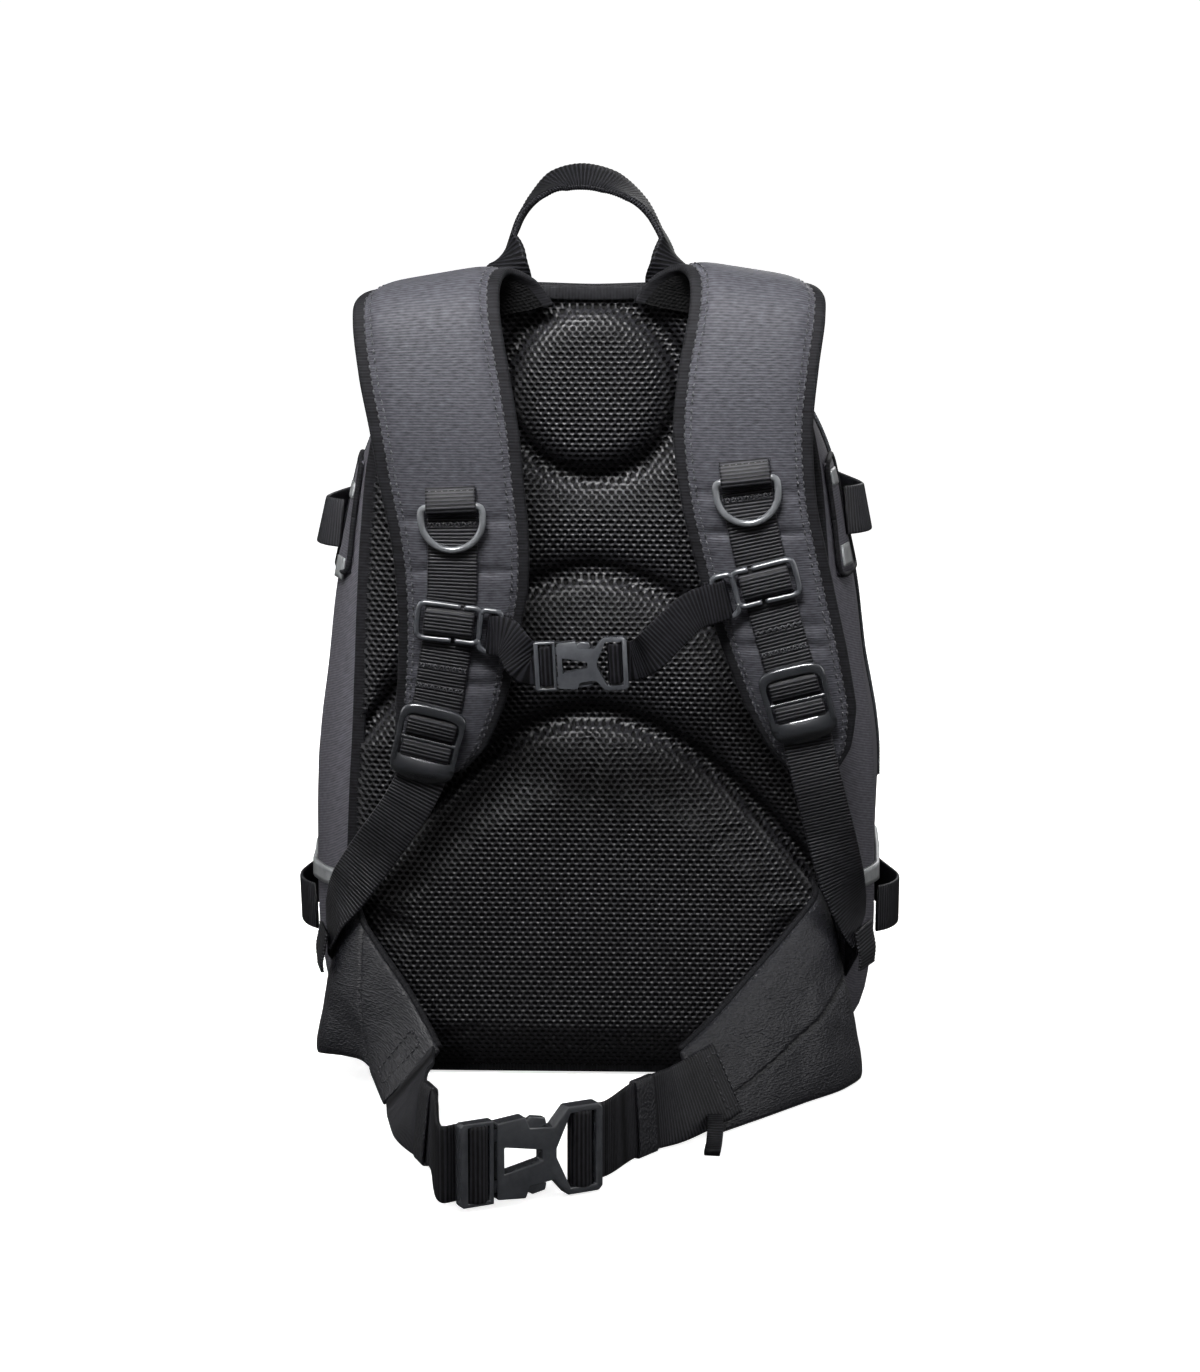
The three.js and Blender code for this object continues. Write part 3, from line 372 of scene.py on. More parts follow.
def moulded_plastic(name, dark, light, grain, roughness, shine=0.5, coat=0.0, metallic=0.0, glow=0.0):
    """Injection moulded plastic, with the fine spark grain of its mould in mm"""
    material, tree = material_tree(name)
    place = node(tree, "TexCoord").outputs["Object"]
    cloud = node(tree, "TexNoise", {
        "Vector": place, "Scale": 1 / (CLOUD["plastic"] * MM), "Detail": 4, "Roughness": 0.7,
    })
    spark = node(tree, "TexNoise", {"Vector": place, "Scale": 1 / (grain * MM), "Detail": 2})
    colour = node(tree, "MixRGB", {
        "Fac": cloud.outputs["Fac"], "Color1": linear(dark), "Color2": linear(light),
    })
    rough = node(tree, "MapRange", {
        "Value": cloud.outputs["Fac"], "To Min": roughness - 0.03, "To Max": roughness + 0.05,
    })
    bump = node(tree, "Bump", {"Height": spark.outputs["Fac"], "Strength": 0.15, "Distance": 0.08 * MM})
    shader = node(tree, "BsdfPrincipled", {
        "Base Color": colour.outputs["Color"], "Roughness": rough.outputs["Result"],
        "Metallic": metallic, "Specular IOR Level": shine, "Coat Weight": coat, "Coat Roughness": 0.1,
        "Emission Color": (1, 1, 1, 1), "Emission Strength": glow,
        "Normal": bump.outputs["Normal"],
    })
    node(tree, "OutputMaterial", {"Surface": shader.outputs["BSDF"]})
    return material


def reflective_tape(name, dark, light):
    """Glass bead tape: silver, with a fine sparkle of beads and duller where it is worn"""
    material, tree = material_tree(name)
    place = node(tree, "TexCoord").outputs["Object"]
    beads = node(tree, "TexVoronoi", {"Vector": place, "Scale": 1 / (BEAD * MM)})
    worn = node(tree, "TexNoise", {"Vector": place, "Scale": 1 / (CLOUD["tape"] * MM), "Detail": 5})
    colour = node(tree, "MixRGB", {
        "Fac": worn.outputs["Fac"], "Color1": linear(dark), "Color2": linear(light),
    })
    bump = node(tree, "Bump", {"Height": beads.outputs["Distance"], "Strength": 0.4, "Distance": 0.15 * MM})
    shader = node(tree, "BsdfPrincipled", {
        "Base Color": colour.outputs["Color"], "Roughness": 0.38, "Metallic": 0.35,
        "Normal": bump.outputs["Normal"],
    })
    node(tree, "OutputMaterial", {"Surface": shader.outputs["BSDF"]})
    return material


def knitted(name, dark, light, fuzz, roughness):
    """Polyester spacer knit: soft yarn with a fuzz of filaments, whose size is in mm, its lightest specks
    painted highlights
    """
    material, tree = material_tree(name)
    place = node(tree, "TexCoord").outputs["Object"]
    yarn = node(tree, "TexNoise", {"Vector": place, "Scale": 1 / (fuzz * MM), "Detail": 3})
    cloud = node(tree, "TexNoise", {"Vector": place, "Scale": 1 / (CLOUD["knit"] * MM), "Detail": 3})
    # painted highlights: the fuzz's highest spots are coloured lighter, as small glints on the yarn
    painted_glint = node(tree, "MapRange", {"Value": yarn.outputs["Fac"], "From Min": 0.36, "From Max": 0.68})
    mixed = node(tree, "Math", {0: painted_glint.outputs["Result"], 1: cloud.outputs["Fac"]}, operation="MULTIPLY")
    colour = node(tree, "MixRGB", {"Fac": mixed.outputs[0], "Color1": linear(dark), "Color2": linear(light)})
    bump = node(tree, "Bump", {"Height": yarn.outputs["Fac"], "Strength": 0.6, "Distance": 0.2 * MM})
    shader = node(tree, "BsdfPrincipled", {
        "Base Color": colour.outputs["Color"], "Roughness": roughness, "Normal": bump.outputs["Normal"],
        "Specular IOR Level": 0.3,
    })
    node(tree, "OutputMaterial", {"Surface": shader.outputs["BSDF"]})
    return material


def lining_knit(name, dark, light, pitch):
    """The straps' mesh lining: small round holes in rows, darker than the yarn round them"""
    material, tree = material_tree(name)
    weave = node(tree, "Attribute", attribute_name="weave").outputs["Vector"]
    flat = node(tree, "VectorMath", {0: weave, 1: (1, 1, 0)}, operation="MULTIPLY")
    holes = node(tree, "TexVoronoi", {
        "Vector": flat.outputs["Vector"], "Scale": 1 / pitch, "Randomness": 0.25,
    })
    colour = node(tree, "MixRGB", {
        "Fac": holes.outputs["Distance"], "Color1": linear(dark), "Color2": linear(light),
    })
    bump = node(tree, "Bump", {"Height": holes.outputs["Distance"], "Distance": 0.8 * MM})
    shader = node(tree, "BsdfPrincipled", {
        "Base Color": colour.outputs["Color"], "Roughness": 0.85, "Normal": bump.outputs["Normal"],
        "Specular IOR Level": 0.1,
    })
    node(tree, "OutputMaterial", {"Surface": shader.outputs["BSDF"]})
    return material


# Coated nylon: a fine plain weave that shows as a faint crosswise grain, matt
SHELL_NYLON = woven(
    "coated nylon plain weave", "#36353a", "#58575d", rib=1.4, relief=0.14, roughness=0.65, slub=3)
# Polyester twill: crosswise slubs with a bluish cast, and a painted highlight on each crown
STRAP_TWILL = woven(
    "polyester twill", "#232326", "#4b4b51", rib=1.3, relief=0.24, roughness=0.5, slub=3.2, crown_light_share=0.35)
# Grosgrain binding tape: near black, with fine ribs across the edge it wraps
BINDING_TAPE = woven("grosgrain binding tape", "#0a0a0b", "#202023", rib=1.6, relief=0.15, roughness=0.7)
# Calendered nylon of the hip wings: darker than the shell, with a pebbled grain and a little shine
WING_NYLON = woven(
    "calendered nylon", "#0d0d10", "#25252a", rib=1.2, relief=0.55, roughness=0.42, gloss=0.35, slub=1.3,
    crown_light_share=0.1)
# Polypropylene webbing: black yarn in thick crosswise ribs, with a painted highlight that makes each crown
# paler
WEBBING_YARN = woven(
    "polypropylene webbing", "#000000", "#2c2c30", rib=RIB, relief=0.45, roughness=0.5, gloss=0.2, slub=2,
    crown_light_share=0.75)
# Webbing of the chest strap and the handle: the same ribs, made darker and duller as painted shade, since
# these bands lie in shade
SHADED_WEBBING = woven(
    "fine polyester webbing", "#000000", "#1e1e22", rib=RIB, relief=0.4, roughness=0.55, slub=2,
    crown_light_share=0.75)
# Bonded polyester sewing thread: a round, slightly waxed grey thread that glints on the cloth
THREAD = woven(
    "bonded polyester thread", "#202023", "#4c4c50", rib=0.8, relief=0.05, roughness=0.4, gloss=0.4)
# Spacer knit of the back panel: dark grey yarn with painted highlights on it, as small lighter specks
AIR_MESH = knitted("polyester spacer knit", "#131315", "#2c2c30", fuzz=0.7, roughness=0.36)
# The floors of the spacer knit's holes: matt, near-black painted shade where little light comes back out, so
# that each hole reads as open
MESH_HOLE_SHADE = knitted("spacer knit depths", "#010101", "#030303", fuzz=0.6, roughness=0.95)
# Knitted lining under the straps: dull black, with rows of small round holes
LINING = lining_knit("strap lining knit", "#020202", "#101011", pitch=2.2)
# Acetal buckles and sliders: satin dark grey with a soft highlight
BUCKLE_PLASTIC = moulded_plastic(
    "moulded acetal", "#2a2b2f", "#494b4f", grain=0.5, roughness=0.2, shine=0.9)
# Acetal D-rings: mid grey, with a slight metal gleam along the wire
RING_PLASTIC = moulded_plastic(
    "mid grey acetal", "#434548", "#727477", grain=0.5, roughness=0.2, shine=0.9, metallic=0.2)
# Nylon ladder locks: glossy gunmetal with a metallic fleck
LOCK_PLASTIC = moulded_plastic(
    "gunmetal nylon", "#1b1c1f", "#404246", grain=0.4, roughness=0.2, shine=0.9, coat=0.8, metallic=0.35)
# Glass bead tape of the trims: dull silver that sparkles a little
TRIM_TAPE = reflective_tape("glass bead tape", "#5f6163", "#a3a5a6")
# Painted studio floor: matt white, lit a little from within so that it stays white far behind
FLOOR_PAINT = moulded_plastic(
    "matt white paint", "#f0f0f0", "#f6f6f6", grain=2, roughness=0.8, glow=0.73)


# Mesh helpers

Station = namedtuple("Station", "at across")
Frame = namedtuple("Frame", "at across out run width thick")
# Sections as shares of the half width and the half thickness
BAND_SECTION = [
    (-1, 0), (-0.97, 0.75), (-0.9, 1), (-0.45, 1), (0, 1), (0.45, 1), (0.9, 1), (0.97, 0.75),
    (1, 0), (0.97, -0.75), (0.9, -1), (0.45, -1), (0, -1), (-0.45, -1), (-0.9, -1), (-0.97, -0.75),
]
ROUND_SECTION = [(math.cos(i * math.pi / 5), math.sin(i * math.pi / 5)) for i in range(10)]
SPACING = {"cord": 2, "bag": 3, "panel": 4, "wire": 1.2, "rail": 1.5}  # of the rings along a tube
# A stitch's length, half its thread's width, the share of that in its height, and its lift off the cloth
STITCH = {"length": 3, "thread": 0.55, "flat": 0.8, "lift": 0.2}
PUFF = {"pressure": 4, "frames": 20}
SHARP = 35  # edges of moulded pieces that turn by more degrees than this are rounded and shaded as edges


def lerp(a, b, share):
    """The value that lies a share of the way from one to another"""
    return a + (b - a) * share


def smoothstep(value, low, high):
    """A soft step from 0 at low to 1 at high"""
    share = min(max((value - low) / (high - low), 0), 1)
    return share * share * (3 - 2 * share)


def lookup(rows, key, value, column):
    """A table's column at a value of another column that grows"""
    return float(np.interp(value, [getattr(r, key) for r in rows], [getattr(r, column) for r in rows]))


def square_to(way, axis):
    """A direction turned square to an axis"""
    return (way - axis * way.dot(axis)).normalized()


def placed(at, x_axis, y_axis, z_axis):
    """A place from its origin and its three axes"""
    place = Matrix((x_axis, y_axis, z_axis)).transposed().to_4x4()
    place.translation = at
    return place


def rounded_corner(x, y, before, after, bend):
    """Three points round a corner, given the ways back to the point before it and on to the one after"""
    cut = 0.3 * bend
    return [
        (x + bend * before[0], y + bend * before[1]),
        (x + cut * (before[0] + after[0]), y + cut * (before[1] + after[1])),
        (x + bend * after[0], y + bend * after[1]),
    ]


def soft_oval(count, wide, deep, wide_power, deep_power):
    """Points round an oval that is the squarer the lower its powers are"""
    section = []
    for angle in np.linspace(0, 2 * math.pi, count, endpoint=False):
        a, o = math.cos(angle), math.sin(angle)
        section.append((
            wide * math.copysign(abs(a) ** wide_power, a), deep * math.copysign(abs(o) ** deep_power, o)))
    return section


def smooth_line(points):
    """A centripetal spline through points, as a function of a share from 0 to 1"""
    points = [Vector(p) for p in points]
    padded = [2 * points[0] - points[1], *points, 2 * points[-1] - points[-2]]
    spans = len(points) - 1

    def at(share):
        i = min(max(int(share * spans), 0), spans - 1)
        before, start, end, after = padded[i:i + 4]
        steps = [math.sqrt((b - a).length) for a, b in ((before, start), (start, end), (end, after))]
        first, middle, last = steps
        leave = (start - before) / first - (end - before) / (first + middle) + (end - start) / middle
        arrive = (end - start) / middle - (after - start) / (middle + last) + (after - end) / last
        leave, arrive = leave * middle, arrive * middle
        t = share * spans - i
        bend = 2 * (start - end) + leave + arrive
        curve = 3 * (end - start) - 2 * leave - arrive
        return ((bend * t + curve) * t + leave) * t + start

    return at


def tangent(line, share):
    """The way along a line"""
    step = 1e-4
    return (line(min(share + step, 1)) - line(max(share - step, 0))).normalized()


def frames_along(stations, band, spacing):
    """Evenly spaced frames on the smooth line through stations, with the band's width and thickness"""
    line = smooth_line([s.at for s in stations])
    spans = len(stations) - 1
    shares = []
    for i in range(spans):
        steps = max(1, round((stations[i + 1].at - stations[i].at).length / spacing))
        shares += [(i + k / steps) / spans for k in range(steps)]
    frames = []
    run = 0
    for share in [*shares, 1]:
        i = min(int(share * spans), spans - 1)
        across = stations[i].across.lerp(stations[i + 1].across, share * spans - i)
        along = tangent(line, share)
        across = square_to(across, along)
        at = line(share)
        if frames:
            run += (at - frames[-1].at).length
        frames.append(Frame(at, across, along.cross(across), run, band.width, band.thick))
    return frames


def stations_of(rows):
    """The stations of a table of webbing"""
    return [Station(Vector((r.x, r.y, r.z)), Vector((r.ax, r.ay, r.az)).normalized()) for r in rows]


def skin(rings, weaves):
    """Faces over closed rings of points, with the cloth's own coordinates in mm on each point"""
    rows, count = len(rings), len(rings[0])
    bm = bmesh.new()
    bmesh.ops.create_grid(bm, x_segments=rows - 1, y_segments=count, size=0.5)
    layer = bm.verts.layers.float_vector.new("weave")
    for vert in bm.verts:
        i = round((vert.co.x + 0.5) * (rows - 1))
        k = round((vert.co.y + 0.5) * count) % count
        vert.co = rings[i][k]
        vert[layer] = weaves[i][k]
    bmesh.ops.remove_doubles(bm, verts=bm.verts[:], dist=1e-4)
    return bm


def close_ends(bm):
    """Faces over every open end"""
    bmesh.ops.holes_fill(bm, edges=[e for e in bm.edges if e.is_boundary], sides=0)
    return bm


def tube(frames, section):
    """A closed tube along frames, its section given as shares of the half width and half thickness"""
    rings = [
        [f.at + f.across * (a * f.width / 2) + f.out * (o * f.thick / 2) for a, o in section]
        for f in frames
    ]
    weaves = [[(f.run, a * f.width / 2, o) for a, o in section] for f in frames]
    return close_ends(skin(rings, weaves))


def ribbed_band(stations, band):
    """Webbing with its crosswise ribs"""
    frames = frames_along(stations, band, RIB / 2)
    rise = [RIB_RISE, -RIB_RISE]
    return tube([f._replace(thick=f.thick + rise[i % 2]) for i, f in enumerate(frames)], BAND_SECTION)


def round_cord(points, radius, spacing=SPACING["cord"], across=(0, 0, 1)):
    """A round cord or wire through points"""
    stations = [Station(Vector(p), Vector(across)) for p in points]
    return tube(frames_along(stations, Band(2 * radius, 2 * radius), spacing), ROUND_SECTION)


def joined(parts):
    """One bmesh out of several"""
    whole = parts[0]
    for part in parts[1:]:
        mesh = bpy.data.meshes.new("part")
        part.to_mesh(mesh)
        part.free()
        whole.from_mesh(mesh)
        bpy.data.meshes.remove(mesh)
    return whole


def piece(name, bm, finishes, replaces=(), body="pack", crease=None):
    """A finished object from a bmesh in mm, riding on its body"""
    bmesh.ops.recalc_face_normals(bm, faces=bm.faces[:])
    bmesh.ops.scale(bm, verts=bm.verts[:], vec=(MM, MM, MM))
    mesh = bpy.data.meshes.new(name)
    bm.to_mesh(mesh)
    bm.free()
    for finish in finishes if isinstance(finishes, list) else [finishes]:
        mesh.materials.append(finish)
    mesh.shade_smooth()
    if crease:
        mesh.set_sharp_from_angle(angle=math.radians(crease))
    made = bpy.data.objects.new(name, mesh)
    bpy.context.scene.collection.objects.link(made)
    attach(made, body)
    if replaces:
        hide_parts(*replaces)
    return made


def subdivided(made, levels):
    """Smooth a piece with a modifier"""
    smooth = made.modifiers.new("smooth", "SUBSURF")
    smooth.levels = levels
    smooth.render_levels = levels
    return made


def puffed(made, hold, most):
    """Blow up a sewn piece with a cloth simulation: hold(point, weave) is 1 where it is sewn down, and no
    point moves further than most, in mm"""
    mesh = made.data
    weave = mesh.attributes["weave"].data
    held = made.vertex_groups.new(name="held")
    for vert in mesh.vertices:
        held.add([vert.index], hold(vert.co / MM, weave[vert.index].vector), "REPLACE")
    cloth = made.modifiers.new("cloth", "CLOTH")
    cloth.settings.vertex_group_mass = held.name
    cloth.settings.use_pressure = True
    cloth.settings.uniform_pressure_force = PUFF["pressure"]
    cloth.settings.effector_weights.gravity = 0
    for step in range(1, PUFF["frames"] + 1):
        bpy.context.scene.frame_set(step)
    blown = made.evaluated_get(bpy.context.evaluated_depsgraph_get()).data
    moves = [after.co - before.co for before, after in zip(mesh.vertices, blown.vertices)]
    made.modifiers.remove(cloth)
    bpy.context.scene.frame_set(1)
    for vert, move in zip(mesh.vertices, moves):
        vert.co += move * min(1, most * MM / max(move.length, 1e-9))
    return made


def surface_of(made):
    """A search tree over a finished piece, in mm"""
    mesh = made.data
    return BVHTree.FromPolygons([v.co / MM for v in mesh.vertices], [p.vertices[:] for p in mesh.polygons])


def cad_copy(name):
    """A solid's mesh in mm, merged, with its flat faces whole"""
    bm = bmesh.new()
    bm.from_mesh(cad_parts[name].data)
    bmesh.ops.scale(bm, verts=bm.verts[:], vec=(1 / MM, 1 / MM, 1 / MM))
    bmesh.ops.remove_doubles(bm, verts=bm.verts[:], dist=1e-3)
    bmesh.ops.dissolve_limit(bm, angle_limit=math.radians(1), verts=bm.verts[:], edges=bm.edges[:])
    return bm


def rounded_edges(bm, radius):
    """Round the sharp edges of a moulded piece"""
    edges = [e for e in bm.edges if e.is_manifold and e.calc_face_angle() > math.radians(SHARP)]
    bmesh.ops.bevel(
        bm, geom=edges, offset=radius, offset_type="OFFSET", affect="EDGES", segments=3, profile=0.5,
        material=-1, clamp_overlap=True)
    return bm


def stitches(places, length=STITCH["length"], thread=STITCH["thread"]):
    """A row of thread stitches at places that give a point, the way along and the way out"""
    bm = bmesh.new()
    bm.verts.layers.float_vector.new("weave")
    for at, along, out in places:
        place = placed(at, along, out.cross(along), out)
        size = Matrix.Diagonal((length / 2, thread, thread * STITCH["flat"], 1))
        bmesh.ops.create_icosphere(bm, subdivisions=1, radius=1, matrix=place @ size)
    return bm


# Bag and back panel

SOLE_ROUND = 25  # the sole's drop fades out up to this height over it
LID_FROM = 290  # the lid's slope begins at this height
SEAM_DEPTH = 150  # where the front panel is sewn to the wall
FRONT_CORDS = {"piping": 1.9, "seam": 1.3}  # radii
CROSS_SEAM = {"reach": 128, "points": 25}
CORD_LIFT = 0.5  # the middle of a cord that is sewn on the bag lies this far off its cloth
# The main zip's depth in the bag, its lowest ends, its lifts off the cloth, its pulls beside the middle, and
# the rounding of their edges
ZIP = {"depth": 95, "lowest": 135, "tape_lift": 0.3, "coil_lift": 1.2, "pulls": 16, "edge": 0.7}
ZIP_TAPE = Band(15, 1.2)
ZIP_COIL = Band(5, 1.6)
FRONT = 1  # marks the front panel in the cloth's own coordinates
FRONT_CROWN = 4
FRONT_FIRST = 0.94  # the front panel's first ring, as a share of its edge
# The rings that turn from the wall to the front: one at the seam, the others past it and short of the front
TURN = {"seam": 0.5, "past": 4, "short": 2}
# A zip's slider and its pull tab
ZIP_PULL = table("length width thick away lift", [
    [10, 8, 3.4, 0, 1.6],
    [22, 6, 1.8, 15, 3],
])
BAG_STEPS = {"fine": 400, "round": 70, "wall": 24, "turn": 6, "front": 16, "slack": 5}
BAG_DENTS = {"size": 60, "depth": 2}
DENT_LEAN = 0.6  # the bag's dents go out to the sides more than to the front
BAG_HELD = {"rim": 12, "seam": 4, "sole": 12}
FAR = 300  # rays start this far outside
SEAM_SLANT = 0.85  # an arch's seam slants, so a point is nearer to it than its height over it


def half_width(z):
    """Half the panel's width at a height"""
    return lookup(OUTLINE, "z", z, "half")


def depth_share(z):
    """The share of its depth that the bag has at a height"""
    return 1 - SLIM * smoothstep(z, SLIM_FROM, TOP_Z)


def bag_ring(depth):
    """One ring of the bag's wall at a depth, as evenly spread points from the sole's middle"""
    bulge, sole, lid, shrink = (lookup(DEPTHS, "depth", depth, share) for share in DEPTHS[0]._fields[1:])
    middle = (SOLE_Z + TOP_Z) / 2
    right = []
    for row in OUTLINE:
        low = max(0, 1 - (row.z - SOLE_Z) / SOLE_ROUND)
        high = smoothstep(row.z, LID_FROM, TOP_Z)
        z = row.z - SOLE_DROP * sole * low - LID_SLOPE * lid * high
        y = BACK_Y + depth * depth_share(row.z)
        x = (row.half + row.bulge * bulge) * (1 - shrink)
        right.append(Vector((x, y, lerp(middle, z, 1 - shrink))))
    start = Vector((0, right[0].y, right[0].z))
    end = Vector((0, right[-1].y, right[-1].z))
    line = smooth_line([start, *right, end])
    fine = [line(i / BAG_STEPS["fine"]) for i in range(BAG_STEPS["fine"] + 1)]
    runs = np.concatenate([[0], np.cumsum([(b - a).length for a, b in zip(fine, fine[1:])])])
    half = []
    for run in np.linspace(0, runs[-1], BAG_STEPS["round"]):
        half.append(fine[int(np.searchsorted(runs, run - 1e-6))])
    return half + [Vector((-p.x, p.y, p.z)) for p in half[-2:0:-1]]


def soft_dents(point, size, depth):
    """Slow dents of slack cloth"""
    return depth * noise.noise(Vector(point) / size)


def bag_shell():
    """The sewn bag: a wall from the back rim to the front seam, and a crowned front panel"""
    wall = list(np.linspace(0, SEAM_DEPTH, BAG_STEPS["wall"]))
    turn = np.linspace(SEAM_DEPTH + TURN["past"], DEPTH - TURN["short"], BAG_STEPS["turn"])
    rings = [bag_ring(depth) for depth in [*wall, SEAM_DEPTH + TURN["seam"], *turn, DEPTH]]
    edge = rings[-1]
    middle = (SOLE_Z + TOP_Z) / 2
    for share in np.linspace(FRONT_FIRST, 0, BAG_STEPS["front"]):
        crown = FRONT_CROWN * (1 - share ** 2)
        ring = []
        for p in edge:
            z = lerp(middle, p.z, share)
            flat = BACK_Y + DEPTH * depth_share(z)
            ring.append(Vector((p.x * share, lerp(flat, p.y, share ** 2) + crown, z)))
        rings.append(ring)
    weaves = []
    for i, ring in enumerate(rings):
        runs = np.cumsum([0, *[(b - a).length for a, b in zip(ring, ring[1:] + ring[:1])]])
        if i < len(wall):
            weaves.append([(min(run, runs[-1] - run), wall[i], 0) for run in runs[:-1]])
        else:
            weaves.append([(p.z, p.x, FRONT) for p in ring])
    for i, ring in enumerate(rings[1:], 1):
        slack = smoothstep(i, 0, BAG_STEPS["slack"])
        for p in ring:
            out = Vector((p.x, p.y * DENT_LEAN, 0)).normalized()
            p += out * slack * soft_dents(p, **BAG_DENTS)
    return close_ends(skin(rings, weaves))


def bag_held(at, weave):
    """The bag is held at its back rim, its sole, its front seam and its zip"""
    on_wall = weave[2] < FRONT / 2
    rim = on_wall and weave[1] < BAG_HELD["rim"]
    seam = on_wall and weave[1] > SEAM_DEPTH - BAG_HELD["seam"]
    zipped = on_wall and abs(weave[1] - ZIP["depth"]) < ZIP_TAPE.width / 2 and at.z > ZIP["lowest"]
    return 1.0 if rim or seam or zipped or at.z < BAG_HELD["sole"] else 0.0


def on_bag(point, lift):
    """The nearest place on the bag, lifted off it, and the way out of its face"""
    at, normal, _, _ = bag_surface.find_nearest(point)
    return at + normal * lift, normal


def bag_side(sign, y, z):
    """How far out the bag's side lies at a depth and a height"""
    at, _, _, _ = bag_surface.ray_cast(Vector((sign * FAR, y, z)), Vector((-sign, 0, 0)))
    return abs(at.x)


def along_bag(points, lift):
    """Stations of a tape that follows the bag's face"""
    stations = []
    for before, point, after in zip([points[0], *points], points, [*points[1:], points[-1]]):
        at, normal = on_bag(point, lift)
        stations.append(Station(at, (after - before).cross(normal).normalized()))
    return stations


def bag_cord(points, radius):
    """A cord sewn on the bag's face"""
    stations = along_bag(points, CORD_LIFT)
    return tube(frames_along(stations, Band(2 * radius, 2 * radius), SPACING["bag"]), ROUND_SECTION)


def zip_pull(at, along, out):
    """A zip slider with a flat pull tab"""
    place = placed(at, along, out.cross(along), out)
    bm = bmesh.new()
    for row in ZIP_PULL:
        middle = Matrix.Translation((row.away, 0, row.lift))
        size = Matrix.Diagonal((row.length, row.width, row.thick, 1))
        bmesh.ops.create_cube(bm, size=1, matrix=place @ middle @ size)
    return rounded_edges(bm, ZIP["edge"])


def pillow(distance, height):
    """A pad's round shoulder, growing from its groove to its full height"""
    share = min(max((distance - GROOVE) / ROUNDING, 0), 1)
    return height * math.sqrt(1 - (1 - share) ** 2)


def above_arch(arch, x, z):
    """How far a point lies above the seam of an arched pad"""
    return SEAM_SLANT * (z - arch.crown + arch.drop * (abs(x) / arch.at) ** arch.power)


def pad_height(x, z):
    """How far the pads stand off the panel's base"""
    edge = min(half_width(z) - abs(x), z - SOLE_Z, TOP_Z - z) + EDGE_REST
    upper = above_arch(MIDDLE_ARCH, x, z)
    lower = above_arch(LUMBAR_ARCH, x, z)
    disc = TOP_PAD["radius"] - math.hypot(x, z - TOP_PAD["z"])
    if lower < 0:
        return pillow(min(-lower, edge), PAD_HEIGHT["lumbar"])
    if upper < 0:
        return pillow(min(-upper, lower, edge), PAD_HEIGHT["middle"])
    if disc > 0:
        return pillow(min(disc, edge), PAD_HEIGHT["top"])
    return pillow(min(upper, -disc, edge), PAD_HEIGHT["field"])


PANEL_BACK = BACK_Y - GAP
PANEL_TAPES = table("name inset y band", [
    ["panel_binding", 2, PANEL_BACK - 3.4, Band(7.8, 6.6)],
    ["panel_piping", -0.6, BACK_Y + 3, Band(3.4, 3.4)],
])
FORM = {"step": 2.5, "margin": 4, "held": 3, "free": 6}  # held up to one pad height, free from the other
FIELD = {"width": 256, "height": 408}  # the mesh before it is cut, a little larger than the panel
CELL = {"pitch": 3.9, "rise": 2.6, "wall": 0.55, "narrow": 0.84, "depth": -1.6, "margin": 0.6}


def pad_form():
    """The foam's front as a fine sheet that dips where its pads meet"""
    bm = bmesh.new()
    margin = FORM["margin"]
    wide = max(row.half for row in OUTLINE) + margin
    columns = round(2 * wide / FORM["step"])
    rows = round((TOP_Z - SOLE_Z + 2 * margin) / FORM["step"])
    bmesh.ops.create_grid(bm, x_segments=columns, y_segments=rows, size=0.5)
    for vert in bm.verts:
        x = vert.co.x * 2 * wide
        z = lerp(SOLE_Z - margin, TOP_Z + margin, vert.co.y + 0.5)
        vert.co = Vector((x, PANEL_BACK - PANEL_BASE - pad_height(x, z), z))
    bm.verts.layers.float_vector.new("weave")
    return bm


def pad_held(at, weave):
    """The foam's cover is sewn down in the grooves and round the edge"""
    return 1 - smoothstep(pad_height(at.x, at.z), FORM["held"], FORM["free"])


def inside_panel(x, z, margin):
    """Whether a point lies inside the panel's edge by a margin"""
    return SOLE_Z + margin < z < TOP_Z - margin and abs(x) < half_width(z) - margin


def air_mesh_field():
    """Flat rows of six-sided cells with sunk holes, cut to the panel's outline"""
    bm = bmesh.new()
    radius = CELL["pitch"] / math.sqrt(3)
    bmesh.ops.create_circle(bm, cap_ends=True, segments=6, radius=radius)
    squeeze = CELL["rise"] / (1.5 * radius)
    bmesh.ops.scale(bm, verts=bm.verts[:], vec=(1, squeeze, 1))
    hole = bm.faces[:]
    bmesh.ops.inset_individual(bm, faces=hole, thickness=CELL["wall"], depth=CELL["depth"])
    for face in hole:
        # each hole's floor takes the second finish, the near-black painted shade
        face.material_index = 1
        bmesh.ops.scale(bm, verts=face.verts[:], vec=(CELL["narrow"], 1, 1))
    columns = round(FIELD["width"] / CELL["pitch"])
    pairs = round(FIELD["height"] / (2 * CELL["rise"]))
    for steps, way in (
        (columns, (CELL["pitch"], 0, 0)),
        (1, (CELL["pitch"] / 2, CELL["rise"], 0)),
        (pairs, (0, 2 * CELL["rise"], 0)),
    ):
        bmesh.ops.spin(
            bm, geom=bm.faces[:], axis=(0, 0, 1), dvec=way, angle=0, steps=steps, use_duplicate=True)
    bmesh.ops.translate(bm, verts=bm.verts[:], vec=(-columns * CELL["pitch"] / 2, SOLE_Z, 0))
    bmesh.ops.remove_doubles(bm, verts=bm.verts[:], dist=0.05)
    outside = [
        f for f in bm.faces
        if not all(inside_panel(v.co.x, v.co.y, CELL["margin"]) for v in f.verts)
    ]
    bmesh.ops.delete(bm, geom=outside, context="FACES")
    return bm


